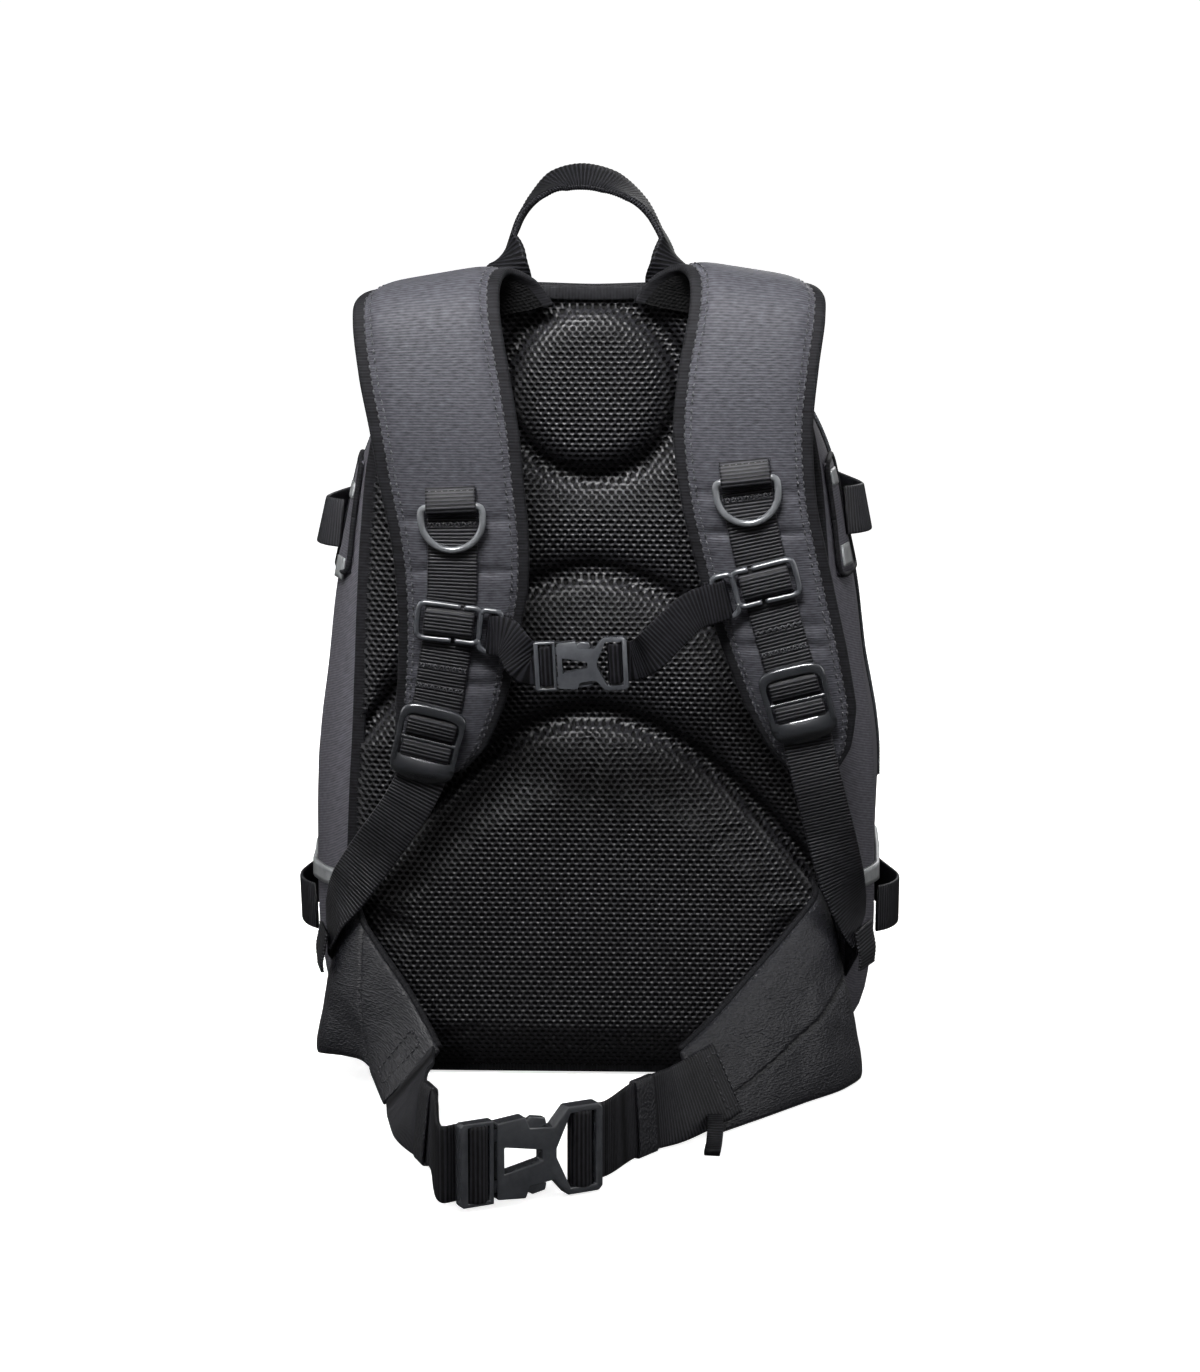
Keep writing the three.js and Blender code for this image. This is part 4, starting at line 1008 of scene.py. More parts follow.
def back_mesh():
    """The air mesh laid over the foam and closed behind"""
    form = puffed(piece("foam", pad_form(), AIR_MESH), pad_held, most=2.5)
    tree = surface_of(form)
    bpy.data.objects.remove(form)
    bm = air_mesh_field()
    for vert in bm.verts:
        at, out, _, _ = tree.ray_cast(Vector((vert.co.x, -FAR, vert.co.y)), Vector((0, 1, 0)))
        out = -out if out.y > 0 else out
        vert.co = at + out * vert.co.z
    rim = bmesh.ops.extrude_edge_only(bm, edges=[e for e in bm.edges if e.is_boundary])
    for vert in [g for g in rim["geom"] if isinstance(g, bmesh.types.BMVert)]:
        vert.co.y = PANEL_BACK
    return close_ends(bm)


def panel_outline(inset):
    """Points round the panel's outline, pulled in by an inset, starting at the sole's middle"""
    right = [Vector((row.half - inset, 0, row.z)) for row in OUTLINE]
    right[0].z += inset
    right[-1].z -= inset
    ring = [Vector((0, 0, right[0].z)), *right, Vector((0, 0, right[-1].z))]
    ring += [Vector((-p.x, 0, p.z)) for p in right[::-1]]
    return [*ring, ring[0]]


def panel_edge(inset, y, band):
    """A tape that runs round the panel's edge"""
    points = [Vector((p.x, y, p.z)) for p in panel_outline(inset)]
    stations = [Station(p, Vector((0, 1, 0))) for p in points]
    frames = frames_along(stations, band, SPACING["panel"])
    return tube(frames, BAND_SECTION if band.width != band.thick else ROUND_SECTION)


bag = piece("bag_cloth", bag_shell(), SHELL_NYLON, ["bag_shell"])
puffed(bag, bag_held, most=5)
bag_surface = surface_of(bag)
seam_ring = bag_ring(SEAM_DEPTH)[::3]
front_piping = bag_cord([*seam_ring, seam_ring[0]], FRONT_CORDS["piping"])
piece("front_piping", front_piping, BINDING_TAPE)
cross_seam = [
    Vector((x, DEPTH / 2, SIDE_BAND["high"]))
    for x in np.linspace(-CROSS_SEAM["reach"], CROSS_SEAM["reach"], CROSS_SEAM["points"])
]
piece("front_seam", bag_cord(cross_seam, FRONT_CORDS["seam"]), BINDING_TAPE)
zip_path = [p for p in bag_ring(ZIP["depth"]) if p.z > ZIP["lowest"]][::2]
zip_frames = frames_along(along_bag(zip_path, ZIP["tape_lift"]), ZIP_TAPE, SPACING["bag"])
piece("zip_tape", tube(zip_frames, BAND_SECTION), BINDING_TAPE)
zip_coil = ribbed_band(along_bag(zip_path, ZIP["coil_lift"]), ZIP_COIL)
piece("zip_coil", zip_coil, BUCKLE_PLASTIC)
pulls = []
zip_top = BACK_Y + ZIP["depth"] * depth_share(TOP_Z)
for way in (-1, 1):
    at, normal = on_bag(Vector((way * ZIP["pulls"], zip_top, TOP_Z)), ZIP["coil_lift"])
    pulls.append(zip_pull(at, square_to(Vector((way, 0, 0)), normal), normal))
piece("zip_pulls", joined(pulls), BUCKLE_PLASTIC, crease=SHARP)
back = piece("back_air_mesh", back_mesh(), [AIR_MESH, MESH_HOLE_SHADE], ["back_panel"])
for tape in PANEL_TAPES:
    piece(tape.name, panel_edge(tape.inset, tape.y, tape.band), BINDING_TAPE)


# Shoulder straps

StrapFrame = namedtuple("StrapFrame", "at face across out width thick")
# Half of a padded strap's section from its edge to its middle: bound edge, stitch line, crown
HALF_SECTION = [
    (1, 0), (0.995, 0.24), (0.97, 0.4), (0.89, 0.46), (0.82, 0.4), (0.785, 0.54), (0.72, 0.78),
    (0.59, 0.95), (0.42, 1.0), (0.2, 1.0), (0, 1.0),
]
STRAP_SECTION = (
    HALF_SECTION
    + [(-a, o) for a, o in HALF_SECTION[-2::-1]]
    + [(-a, -o) for a, o in HALF_SECTION[1:]]
    + [(a, -o) for a, o in HALF_SECTION[-2:0:-1]]
)
STRAP_STEPS = {"pad": 160, "seam": 400}
BOUND_RISE = 0.47  # the section's bound edge stays below this share of the half thickness
FRONT_RUN_Y = -120  # a strap's front run lies before this
FRONT_RUN_SHARE = 0.3  # and begins past this share of its length
CREASE = {"depth": 3.6, "reach": 2.4, "held": 4}
UNDER_WEBBING = {"beside": 8, "above": 14, "below": 25}  # how far round its webbing a strap is held down
STRAP_SEAMS = (-0.83, -0.745, 0.745, 0.83)  # stitch rows as shares of the half width
SEAM_PITCH = 4.2
Hump = namedtuple("Hump", "middle reach lift")
SLIDER_HUMP = Hump(0, 7, 4.6)
LOCK_HUMPS = {"upper": Hump(9, 5.6, 4.4), "lower": Hump(-3.6, 4.6, 4.4)}
BARTACK = {"width": 22, "count": 15, "lean": 62, "length": 3.4, "thread": 0.45}
TACK_AT = {"below_ring": 9, "on_loop": 7, "loop_lift": 4.6}
# Where the webbing lies flat on a strap: steps below the ring, beside the slider, above and below the lock,
# and down to the tip
FLAT_AT = {"ring": (6, 18), "slider": 14, "above_lock": 23, "below_lock": 14, "tip": 23}
# The ends of the upper and the lower webbing at the lock's cross bar, as steps up the strap and lifts
LOCK_ENDS = {"upper": [(3.3, 0), (2.9, 0)], "lower": [(1.6, 0), (1.2, 0)]}
SLOT_AT = {-1: 0.75, 1: 0.73}  # a buckle's left and right slot, as shares of its half length


def strap_line(rows):
    """A padded strap's frame as a function of the share of its length"""
    line = smooth_line([(r.x, r.y, r.z) for r in rows])
    spans = len(rows) - 1

    def at(share):
        i = min(int(share * spans), spans - 1)
        now, then, part = rows[i], rows[i + 1], share * spans - i
        tilt = math.radians(lerp(now.tilt, then.tilt, part))
        across = Vector((math.cos(tilt), 0, math.sin(tilt)))
        out = tangent(line, share).cross(across).normalized()
        thick = lerp(now.thick, then.thick, part)
        centre = line(share)
        face = centre + out * thick / 2 + across * lerp(now.lane, then.lane, part)
        return StrapFrame(centre, face, across, out, lerp(now.width, then.width, part), thick)

    return at


def strap_at_height(strap, z):
    """The frame where a strap's front run passes a height"""
    low, high = FRONT_RUN_SHARE, 1
    for _ in range(40):
        middle = (low + high) / 2
        if strap(middle).at.z > z:
            low = middle
        else:
            high = middle
    return strap(high)


def on_strap(strap, z):
    """A place on a strap's outer face: x across, y up along the webbing's lane, z out of the face"""
    step = 6
    middle = strap_at_height(strap, z)
    up = (strap_at_height(strap, z + step).face - strap_at_height(strap, z - step).face).normalized()
    out = square_to(middle.out, up)
    return placed(middle.face, up.cross(out), up, out)


def lifted(place, lifts):
    """Webbing stations from steps up a place's y and lifts off its face"""
    across = place.col[0].to_3d()
    rest = 2 * GAP + WEBBING.thick / 2
    return [Station(place @ Vector((0, up, rest + lift)), across) for up, lift in lifts]


def laid(strap, place, heights):
    """Webbing stations that lie on the strap at given heights"""
    across = place.col[0].to_3d()
    frames = [strap_at_height(strap, z) for z in heights]
    return [Station(f.face + f.out * (2 * GAP + WEBBING.thick / 2), across) for f in frames]


def rise_through(hump):
    """The webbing's rise through a window, as steps up the strap and lifts"""
    half = [(1, 0), (0.97, 0.35), (0.88, 0.78), (0.6, 1)]
    shape = [*half, (0, 1.05), *[(-step, rise) for step, rise in half[::-1]]]
    return [(hump.middle + step * hump.reach, rise * hump.lift) for step, rise in shape]


def strap_frames(strap, steps):
    """Frames along a padded strap"""
    frames = []
    run = 0
    for i in range(steps + 1):
        f = strap(i / steps)
        if frames:
            run += (f.at - frames[-1].at).length
        frames.append(Frame(f.at, f.across, f.out, run, f.width, f.thick))
    return frames


def padded_strap(strap, creases):
    """A foam strap: twill face, bound edges, a mesh lining underneath, and creases where it is sewn"""
    bm = tube(strap_frames(strap, STRAP_STEPS["pad"]), STRAP_SECTION)
    weave = bm.verts.layers.float_vector["weave"]
    for face in bm.faces:
        rises = [v[weave].z for v in face.verts]
        if max(abs(rise) for rise in rises) <= BOUND_RISE:
            face.material_index = 1
        elif sum(rises) < 0:
            face.material_index = 2
    for vert in bm.verts:
        crown = max(0, vert[weave].z - BOUND_RISE)
        if vert.co.y < FRONT_RUN_Y:
            for height in creases:
                near = math.exp(-((vert.co.z - height) / CREASE["reach"]) ** 2)
                vert.co.y += CREASE["depth"] * crown * near
    return bm


def strap_holder(ring, lock, creases):
    """Where a strap is sewn down: its edges and lining, its creases, and under its webbing"""

    def held(at, weave):
        if weave[2] < BOUND_RISE:
            return 1.0
        creased = any(abs(at.z - height) < CREASE["held"] for height in creases)
        beside = abs(weave[1]) < WEBBING.width / 2 + UNDER_WEBBING["beside"]
        between = lock - UNDER_WEBBING["below"] < at.z < ring + UNDER_WEBBING["above"]
        return 1.0 if at.y < FRONT_RUN_Y and (creased or beside and between) else 0.0

    return held


def edge_stitches(strap, across):
    """Stitches along a strap at a share of its half width"""
    places = []
    frames = strap_frames(strap, STRAP_STEPS["seam"])
    shares = list(zip(*HALF_SECTION[::-1]))
    height = float(np.interp(abs(across), shares[0], shares[1]))
    spots = [f.at + f.across * (across * f.width / 2) + f.out * (height * f.thick / 2) for f in frames]
    travelled = 0
    for i in range(1, len(frames) - 1):
        travelled += (spots[i] - spots[i - 1]).length
        if travelled >= SEAM_PITCH:
            travelled -= SEAM_PITCH
            along = (spots[i + 1] - spots[i - 1]).normalized()
            places.append((spots[i], along, square_to(frames[i].out, along)))
    return stitches(places)


def chest_stations(place, sign):
    """The start of a sternum webbing: its sewn end lies behind the slider's bar and turns to the front"""
    bar = SLIDER["width"] / 2 + SLIDER["hook"] - SLIDER["hook_bar"] / 2
    front = SLIDER_LIFT + SLIDER_WIRE + STERNUM.thick / 2 + GAP
    behind = SLIDER_LIFT - SLIDER_WIRE - STERNUM.thick / 2 - GAP
    steps = [
        (5, behind), (0, behind), (-4.2, behind + 0.5), (-5.6, SLIDER_LIFT), (-4.2, front - 0.5),
    ]
    across = place.col[1].to_3d()
    return [
        Station(place @ Vector((-sign * (bar + away), -SLIDER["hook_drop"], lift)), across)
        for away, lift in steps
    ]


def buckle_at(ends):
    """A place for a buckle whose length runs between two points, standing upright"""
    start, end = Vector(ends["left"]), Vector(ends["right"])
    along = (end - start).normalized()
    out = along.cross(Vector((0, 0, 1))).normalized()
    return placed((start + end) / 2, along, out.cross(along), out)


def slot_stations(place, size, sign, thick):
    """Webbing round a buckle's end bar: behind the frame, out through the slot and behind again, in steps
    from the slot that are shares of the buckle's half length"""
    behind = -size.thick / 2 - thick / 2 - GAP
    rise = size.thick / 2
    turn = [(0.125, behind * 0.5), (0.115, rise * 0.3), (0.085, rise * 0.75)]
    steps = [(0.4, behind), (0.24, behind), (0.17, behind), *turn, (0, rise)]
    steps += [(-share, lift) for share, lift in turn[::-1]]
    across = place.col[1].to_3d()
    return [
        Station(place @ Vector((sign * (SLOT_AT[sign] + share) * size.length / 2, 0, lift)), across)
        for share, lift in steps
    ]


RING_SIZE = {"inside": 27, "wire": 3.6, "bend": 3, "leg": 6.5}
# The ring's loop: the sewn ends of its two layers, where both turn round the bar, and the upper one's rise
RING_LOOP = {"under": 9, "over": 9.5, "turn": 4.5, "rise": 1.6}
RING_BAR = GAP + WEBBING.thick + 1.5 * GAP + RING_SIZE["wire"] / 2


def d_ring(place):
    """A closed ring: a straight bar, two short legs and a half circle"""
    radius = (RING_SIZE["inside"] + RING_SIZE["wire"]) / 2
    bend, leg = RING_SIZE["bend"], RING_SIZE["leg"]
    half = [
        (0, 0), (radius * 0.5, 0), (radius - bend, 0), (radius - bend * 0.25, -bend * 0.3), (radius, -bend),
    ]
    turns = np.linspace(0, math.pi / 2, 9)
    half += [(radius * math.cos(a), -leg - radius * math.sin(a)) for a in turns]
    whole = half + [(-x, y) for x, y in half[-2::-1]]
    points = [place @ Vector((x, y, RING_BAR)) for x, y in whole]
    return round_cord(points, RING_SIZE["wire"] / 2, SPACING["wire"], across=place.col[2].to_3d())


def ring_loop(place):
    """Webbing folded round the ring's bar and sewn down above it"""
    low = GAP + WEBBING.thick / 2
    turn = RING_BAR - low
    path = [(RING_LOOP["under"], low), (RING_LOOP["turn"], low)]
    path += [
        (turn * math.cos(a), RING_BAR + turn * math.sin(a))
        for a in np.linspace(-math.pi / 2, -1.5 * math.pi, 9)
    ]
    path.append((RING_LOOP["turn"], RING_BAR + RING_LOOP["rise"]))
    path.append((RING_LOOP["over"], low + WEBBING.thick + GAP))
    across = place.col[0].to_3d()
    return ribbed_band([Station(place @ Vector((0, y, z)), across) for y, z in path], WEBBING)


def bartack(place, up, lift):
    """A dense zigzag of stitches across the webbing"""
    lean = math.radians(BARTACK["lean"])
    half = BARTACK["width"] / 2
    places = []
    for i in range(BARTACK["count"]):
        x = lerp(-half, half, i / (BARTACK["count"] - 1))
        along = Vector((math.cos(lean), math.sin(lean) * (-1) ** i, 0))
        turned = place.to_3x3() @ along
        places.append((place @ Vector((x, up, lift)), turned, place.col[2].to_3d()))
    return stitches(places, BARTACK["length"], BARTACK["thread"])


SLIDER_LIFT = 3 * GAP + WEBBING.thick + SLIDER["thick"] / 2
SLIDER_WIRE = 1.55
SLIDER_SPLIT = {"top": 5, "foot": 2, "gap": 2}  # where its two bars are split, beside its middle


def sternum_slider(place, sign):
    """A wire-like frame in two halves, split in its upper and lower bar, with a side loop"""
    side = SLIDER["width"] / 2 - SLIDER_WIRE
    top = SLIDER["height"] / 2 - SLIDER_WIRE
    far = SLIDER["width"] / 2 + SLIDER["hook"] - SLIDER["hook_bar"] / 2
    bend = 2.2
    loop_top, loop_foot = 8.8, -12.4
    outer = [
        (SLIDER_SPLIT["top"], top),
        *rounded_corner(-side, top, (1, 0), (0, -1), bend),
        *rounded_corner(-side, -top, (0, 1), (1, 0), bend),
        (SLIDER_SPLIT["foot"], -top),
    ]
    inner = [
        (SLIDER_SPLIT["top"] + SLIDER_SPLIT["gap"], top),
        *rounded_corner(side, top, (-1, 0), (0, -1), bend),
        (side, 0),
        *rounded_corner(side, -top, (0, 1), (-1, 0), bend),
        (SLIDER_SPLIT["foot"] + SLIDER_SPLIT["gap"], -top),
    ]
    loop = [
        (side, top - bend), (side + 1.5, top - 0.2), (side + 4, loop_top),
        (far - bend, loop_top), (far - 0.3, loop_top - 1), (far, loop_top - 3),
        (far, loop_foot + 3), (far - 0.5, loop_foot + 0.8), (far - bend, loop_foot),
        (side + 3.5, loop_foot), (side + 0.8, loop_foot + 2), (side, bend - top),
    ]
    wires = []
    for points in (outer, inner, loop):
        line = [place @ Vector((-sign * x, y, SLIDER_LIFT)) for x, y in points]
        wires.append(round_cord(line, SLIDER_WIRE, SPACING["wire"], across=place.col[2].to_3d()))
    return joined(wires)


LADDER = {
    "half_width": 16.6, "half_height": 20.5, "rail": 3, "top_bar": 5.6, "bend": 5, "corner": 9,
    "bar": 1.2, "bar_at": 2, "sharp": 50,
}
# The lock's lower lip: its start, how far that lies below the frame's face, its crown, its edge's thickness,
# how far its sides round down, and its points along and across
LIP = {"start": -7.5, "below": 1, "crown": 2.4, "edge": 1.8, "sides": 1.2, "steps": 14, "points": 17}


def lock_lip(place, low, high):
    """The broad lower lip of a ladder lock, crowned and thinned towards its rounded end"""
    corner, reach = LADDER["corner"], LADDER["half_height"]
    rings, weaves = [], []
    for i in range(LIP["steps"] + 1):
        share = i / LIP["steps"]
        y = lerp(LIP["start"], -reach, share)
        into = max(0, corner - (y + reach))
        half = LADDER["half_width"] - corner + math.sqrt(corner ** 2 - into ** 2)
        edge = lerp(high - LIP["below"], low + LIP["edge"], smoothstep(share, 0.5, 1))
        ring = []
        for x in np.linspace(-1, 1, LIP["points"]):
            crown = LIP["crown"] * math.sin(math.pi * share ** 0.8)
            ring.append((x * half, y, edge - LIP["sides"] * x ** 8 + crown * (1 - x * x)))
        ring += [(x * half, y, low) for x in np.linspace(1, -1, LIP["points"])]
        rings.append([place @ Vector(p) for p in ring])
        weaves.append(ring)
    return close_ends(skin(rings, weaves))


def ladder_lock(node_name, place):
    """A ladder lock: two rails, a thick top bar, a cross bar for the webbing and a domed lower lip"""
    solid = cad_copy(node_name)
    depths = [(place.inverted() @ v.co).z for v in solid.verts]
    solid.free()
    low, high = min(depths), max(depths)
    side = LADDER["half_width"] - LADDER["rail"] / 2
    top = LADDER["half_height"] - LADDER["top_bar"] / 2
    bend = LADDER["bend"]
    half = [(-side, LIP["start"] - 3), (-side, 3), *rounded_corner(-side, top, (0, -1), (1, 0), bend)]
    path = [*half, (0, top + 0.5), *[(-x, y) for x, y in half[::-1]]]
    out = place.col[2].to_3d()
    stations = [Station(place @ Vector((x, y, (low + high) / 2)), out) for x, y in path]
    rails = []
    for f in frames_along(stations, Band(high - low, LADDER["rail"]), SPACING["rail"]):
        height = (place.inverted() @ f.at).y
        thick = lerp(LADDER["rail"], LADDER["top_bar"], smoothstep(height, top - 1.5 * bend, top))
        rails.append(f._replace(thick=thick))
    bar = [place @ Vector((x, LADDER["bar_at"], (low + high) / 2)) for x in (-side, side)]
    rail_section = soft_oval(20, 1, 1, 0.6, 0.6)
    return joined([
        tube(rails, rail_section), lock_lip(place, low, high), round_cord(bar, LADDER["bar"])])


def buckle_half(name, solid, edge):
    """One half of a buckle: its solid with rounded edges"""
    bm = rounded_edges(cad_copy(solid), edge)
    piece(name, bm, BUCKLE_PLASTIC, [solid], crease=SHARP)


sternum_place = buckle_at(STERNUM_BUCKLE_ENDS)
# Each strap with the heights of its D-ring, its slider, its lock and its creases, and the webbing it carries
STRAPS = table("side rows ring slider lock creases lower chest", [
    ["left", STRAP_LEFT, 308, 250, 186, (300, 274, 226, 215), ADJUSTER_LEFT, STERNUM_LEFT],
    ["right", STRAP_RIGHT, 322, 271, 209, (314, 294, 247, 236), ADJUSTER_RIGHT, STERNUM_RIGHT],
])
for side, rows, ring, slider, lock, creases, lower, chest in STRAPS:
    sign = SIGN[side]
    strap = strap_line(rows)
    pad = piece(
        f"shoulder_pad_{side}", padded_strap(strap, creases), [STRAP_TWILL, BINDING_TAPE, LINING],
        [f"shoulder_strap_{side}"])
    puffed(pad, strap_holder(ring, lock, creases), most=2)
    subdivided(pad, 1)
    seams = joined([edge_stitches(strap, share) for share in STRAP_SEAMS])
    piece(f"strap_stitching_{side}", seams, THREAD)

    ring_place = on_strap(strap, ring)
    piece(f"ring_loop_{side}", ring_loop(ring_place), WEBBING_YARN, [f"d_ring_loop_{side}"])
    on_webbing = 2 * GAP + WEBBING.thick + STITCH["lift"]
    tacks = [bartack(on_strap(strap, height), 0, on_webbing) for height in creases[-2:]]
    tacks.append(bartack(on_strap(strap, ring - TACK_AT["below_ring"]), 0, on_webbing))
    tacks.append(bartack(ring_place, TACK_AT["on_loop"], TACK_AT["loop_lift"]))
    piece(f"bartacks_{side}", joined(tacks), THREAD)
    piece(f"ring_{side}", d_ring(ring_place), RING_PLASTIC, [f"d_ring_{side}"],
          f"d_ring_{side}")

    slider_place = on_strap(strap, slider)
    piece(f"slider_{side}", sternum_slider(slider_place, sign), BUCKLE_PLASTIC,
          [f"sternum_slider_{side}"])
    lock_place = on_strap(strap, lock)
    piece(f"lock_{side}", ladder_lock(f"ladder_lock_{side}", lock_place), LOCK_PLASTIC,
          [f"ladder_lock_{side}"], crease=LADDER["sharp"])

    upper_web = [
        *laid(strap, ring_place, [ring - step for step in FLAT_AT["ring"]]),
        *lifted(slider_place, [(FLAT_AT["slider"], 0), *rise_through(SLIDER_HUMP), (-FLAT_AT["slider"], 0)]),
        *lifted(lock_place, [
            (FLAT_AT["above_lock"], 0), *rise_through(LOCK_HUMPS["upper"])[:-1], *LOCK_ENDS["upper"]]),
    ]
    piece(f"daisy_webbing_{side}", ribbed_band(upper_web, WEBBING), WEBBING_YARN,
          [f"strap_webbing_{side}"])
    lower_web = [
        *lifted(lock_place, [
            *LOCK_ENDS["lower"], *rise_through(LOCK_HUMPS["lower"])[1:], (-FLAT_AT["below_lock"], 0)]),
        *laid(strap, lock_place, [lock - FLAT_AT["tip"]]),
        *stations_of(lower),
    ]
    piece(f"lower_webbing_{side}", ribbed_band(lower_web, WEBBING), WEBBING_YARN,
          [f"adjuster_webbing_{side}"])
    chest_web = [
        *chest_stations(slider_place, sign),
        *stations_of(chest),
        *slot_stations(sternum_place, STERNUM_BUCKLE, sign, STERNUM.thick),
    ]
    # the chest webbing takes the darker copy of the webbing, painted shade
    piece(f"chest_webbing_{side}", ribbed_band(chest_web, STERNUM), SHADED_WEBBING,
          [f"sternum_webbing_{side}"])
buckle_half("chest_socket", "sternum_buckle_socket", edge=1.3)
buckle_half("chest_plug", "sternum_buckle_plug", edge=1.0)


# Carry handle and hip belt

# A fold's two ends, as shares of a wing's length and height, and how far its upper layer stands up
Fold = namedtuple("Fold", "share height end_share end_height rise")
FOLD = {"groove": 2.4, "reach": 0.013}  # the reach is a share of the wing's size
SEWN_FROM = 0.9  # the belt webbing lies over a wing from this share of its length
WING_SEWN = {"start": 0.04, "edge": 0.07}  # shares of a wing that are sewn down
WING_STEPS = (104, 52)
WING_EDGE = {"least": 0.04, "power": 8}  # how a wing's thickness rounds off towards its edges
WING_PIPING = {"start": 0.06, "end": 0.99, "points": 24, "radius": 1.7, "lift": 0.6}
WING_DENTS = table("size depth", [
    [26, 1.8],
    [9, 0.5],
])
BELT_SPREAD = BELT._replace(width=BELT.width + 2.4)  # the belt's yarns spread a little where it hangs free
# The stitched box's share of the webbing's width, and its stitches
BOX = {"width": 0.8, "pitch": 3.6, "stitch": 2.6}
BOX_LINES = [(0, 1), (2, 3), (0, 2), (1, 3)]


def fold_side(fold, share, height):
    """How far a point of a wing lies past a fold's line, as a share of the wing's size"""
    across = (fold.end_share - fold.share, fold.end_height - fold.height)
    side = across[0] * (height - fold.height) - across[1] * (share - fold.share)
    return side / math.hypot(*across)


def fold_rise(fold, share, height):
    """The step of an upper layer that ends along a fold, with a groove at its foot"""
    side = fold_side(fold, share, height)
    groove = FOLD["groove"] * math.exp(-(side / FOLD["reach"] + 1) ** 2)
    return fold.rise * smoothstep(side, -FOLD["reach"], FOLD["reach"]) - groove


def wing_held(at, weave):
    """A wing is sewn down along its edges and under the webbing at its end"""
    return 1.0 if weave[2] == 0 else 0.0


def wing_frame(rows, share):
    """A wing's foot and head at a share of its length, and the way out of its face"""
    lower = smooth_line([(r.x, r.y, r.z) for r in rows])
    upper = smooth_line([(r.top_x, r.top_y, r.top_z) for r in rows])
    foot, head = lower(share), upper(share)
    along = (tangent(lower, share) + tangent(upper, share)).normalized()
    return foot, head, along.cross((head - foot).normalized()).normalized()


def wing_cloth(rows, swell, folds=(), wrinkle=1.0, steps=WING_STEPS):
    """Cloth between a lower and an upper edge line, with a soft swell, folds and wrinkles"""
    along_steps, high_steps = steps
    shares = [k / (len(rows) - 1) for k in range(len(rows))]
    length = (Vector(rows[0][:3]) - Vector(rows[-1][:3])).length
    crease = 3 * FOLD["reach"]
    rings, weaves = [], []
    for i in range(along_steps + 1):
        share = i / along_steps
        foot, head, out = wing_frame(rows, share)
        thick = float(np.interp(share, shares, [r.thick for r in rows]))
        ring, weave = [], []
        for face, heights in ((1, range(high_steps + 1)), (-1, range(high_steps, -1, -1))):
            for k in heights:
                height = k / high_steps
                inner = math.sin(math.pi * height)
                round_edge = math.sqrt(max(WING_EDGE["least"], 1 - (2 * height - 1) ** WING_EDGE["power"]))
                at = foot.lerp(head, height)
                lift = swell * inner * math.sin(math.pi * share)
                slack = wrinkle * inner * smoothstep(share, 1, SEWN_FROM)
                lift += slack * sum(soft_dents(at, *dent) for dent in WING_DENTS)
                lift += sum(fold_rise(fold, share, height) for fold in folds) * math.copysign(1, swell)
                ring.append(at + out * (face * thick / 2 * round_edge + lift))
                creased = any(abs(fold_side(fold, share, height)) < crease for fold in folds)
                at_end = share > SEWN_FROM or share < WING_SEWN["start"]
                sewn = creased or at_end or min(height, 1 - height) < WING_SEWN["edge"]
                weave.append((height * (head - foot).length, share * length, 0 if sewn else face))
        rings.append(ring)
        weaves.append(weave)
    return close_ends(skin(rings, weaves))


def belt_start(rows, swell, lift, face):
    """Belt stations where the webbing is sewn to one face of its wing's end"""
    stations = []
    for share in (SEWN_FROM, lerp(SEWN_FROM, 1, 0.5)):
        foot, head, out = wing_frame(rows, share)
        middle = (foot + head) / 2 + out * (swell * math.sin(math.pi * share) + math.copysign(lift, swell))
        off = face * (rows[-1].thick + BELT.thick) / 2 + face * GAP
        stations.append(Station(middle + out * math.copysign(off, swell * face), (head - foot).normalized()))
    return stations


def sewn_lines(corners, lines, out):
    """Rows of stitches between numbered corners"""
    places = []
    for start, end in lines:
        run = corners[end] - corners[start]
        along = run.normalized()
        off = square_to(out, along)
        count = round(run.length / BOX["pitch"])
        for i in range(count):
            places.append((corners[start] + run * ((i + 0.5) / count), along, off))
    return stitches(places, length=BOX["stitch"])


def wing_piping(rows):
    """A cord sewn along a wing's upper edge"""
    lift = Vector((0, 0, WING_PIPING["lift"]))
    shares = np.linspace(WING_PIPING["start"], WING_PIPING["end"], WING_PIPING["points"])
    return round_cord([wing_frame(rows, share)[1] + lift for share in shares], WING_PIPING["radius"])


def sleeve(stations, stretch, share):
    """A cloth keeper round the belt webbing, part way along one of its stretches"""
    start, end = stations[stretch], stations[stretch + 1]
    along = (end.at - start.at).normalized()
    across = square_to(start.across.lerp(end.across, share), along)
    out = across.cross(along)
    wide = BELT.width / 2 + KEEPER["slack"] / 4 + KEEPER["wall"]
    deep = BELT.thick / 2 + KEEPER["slack"] / 4 + KEEPER["wall"]
    middle = start.at.lerp(end.at, share)
    section = soft_oval(40, wide, deep, 0.3, 0.5)
    rings, weaves = [], []
    for step in np.linspace(-0.5, 0.5, 9):
        at = middle + along * (step * KEEPER["length"])
        rings.append([at + across * a + out * o for a, o in section])
        weaves.append([(step * KEEPER["length"], a, o) for a, o in section])
    return skin(rings, weaves)


handle = ribbed_band(stations_of(HANDLE), HANDLE_BAND)
# the handle takes the darker copy of the webbing, painted shade
piece("grab_handle", handle, SHADED_WEBBING, ["carry_handle"])
hip_place = buckle_at(HIP_BUCKLE_ENDS)
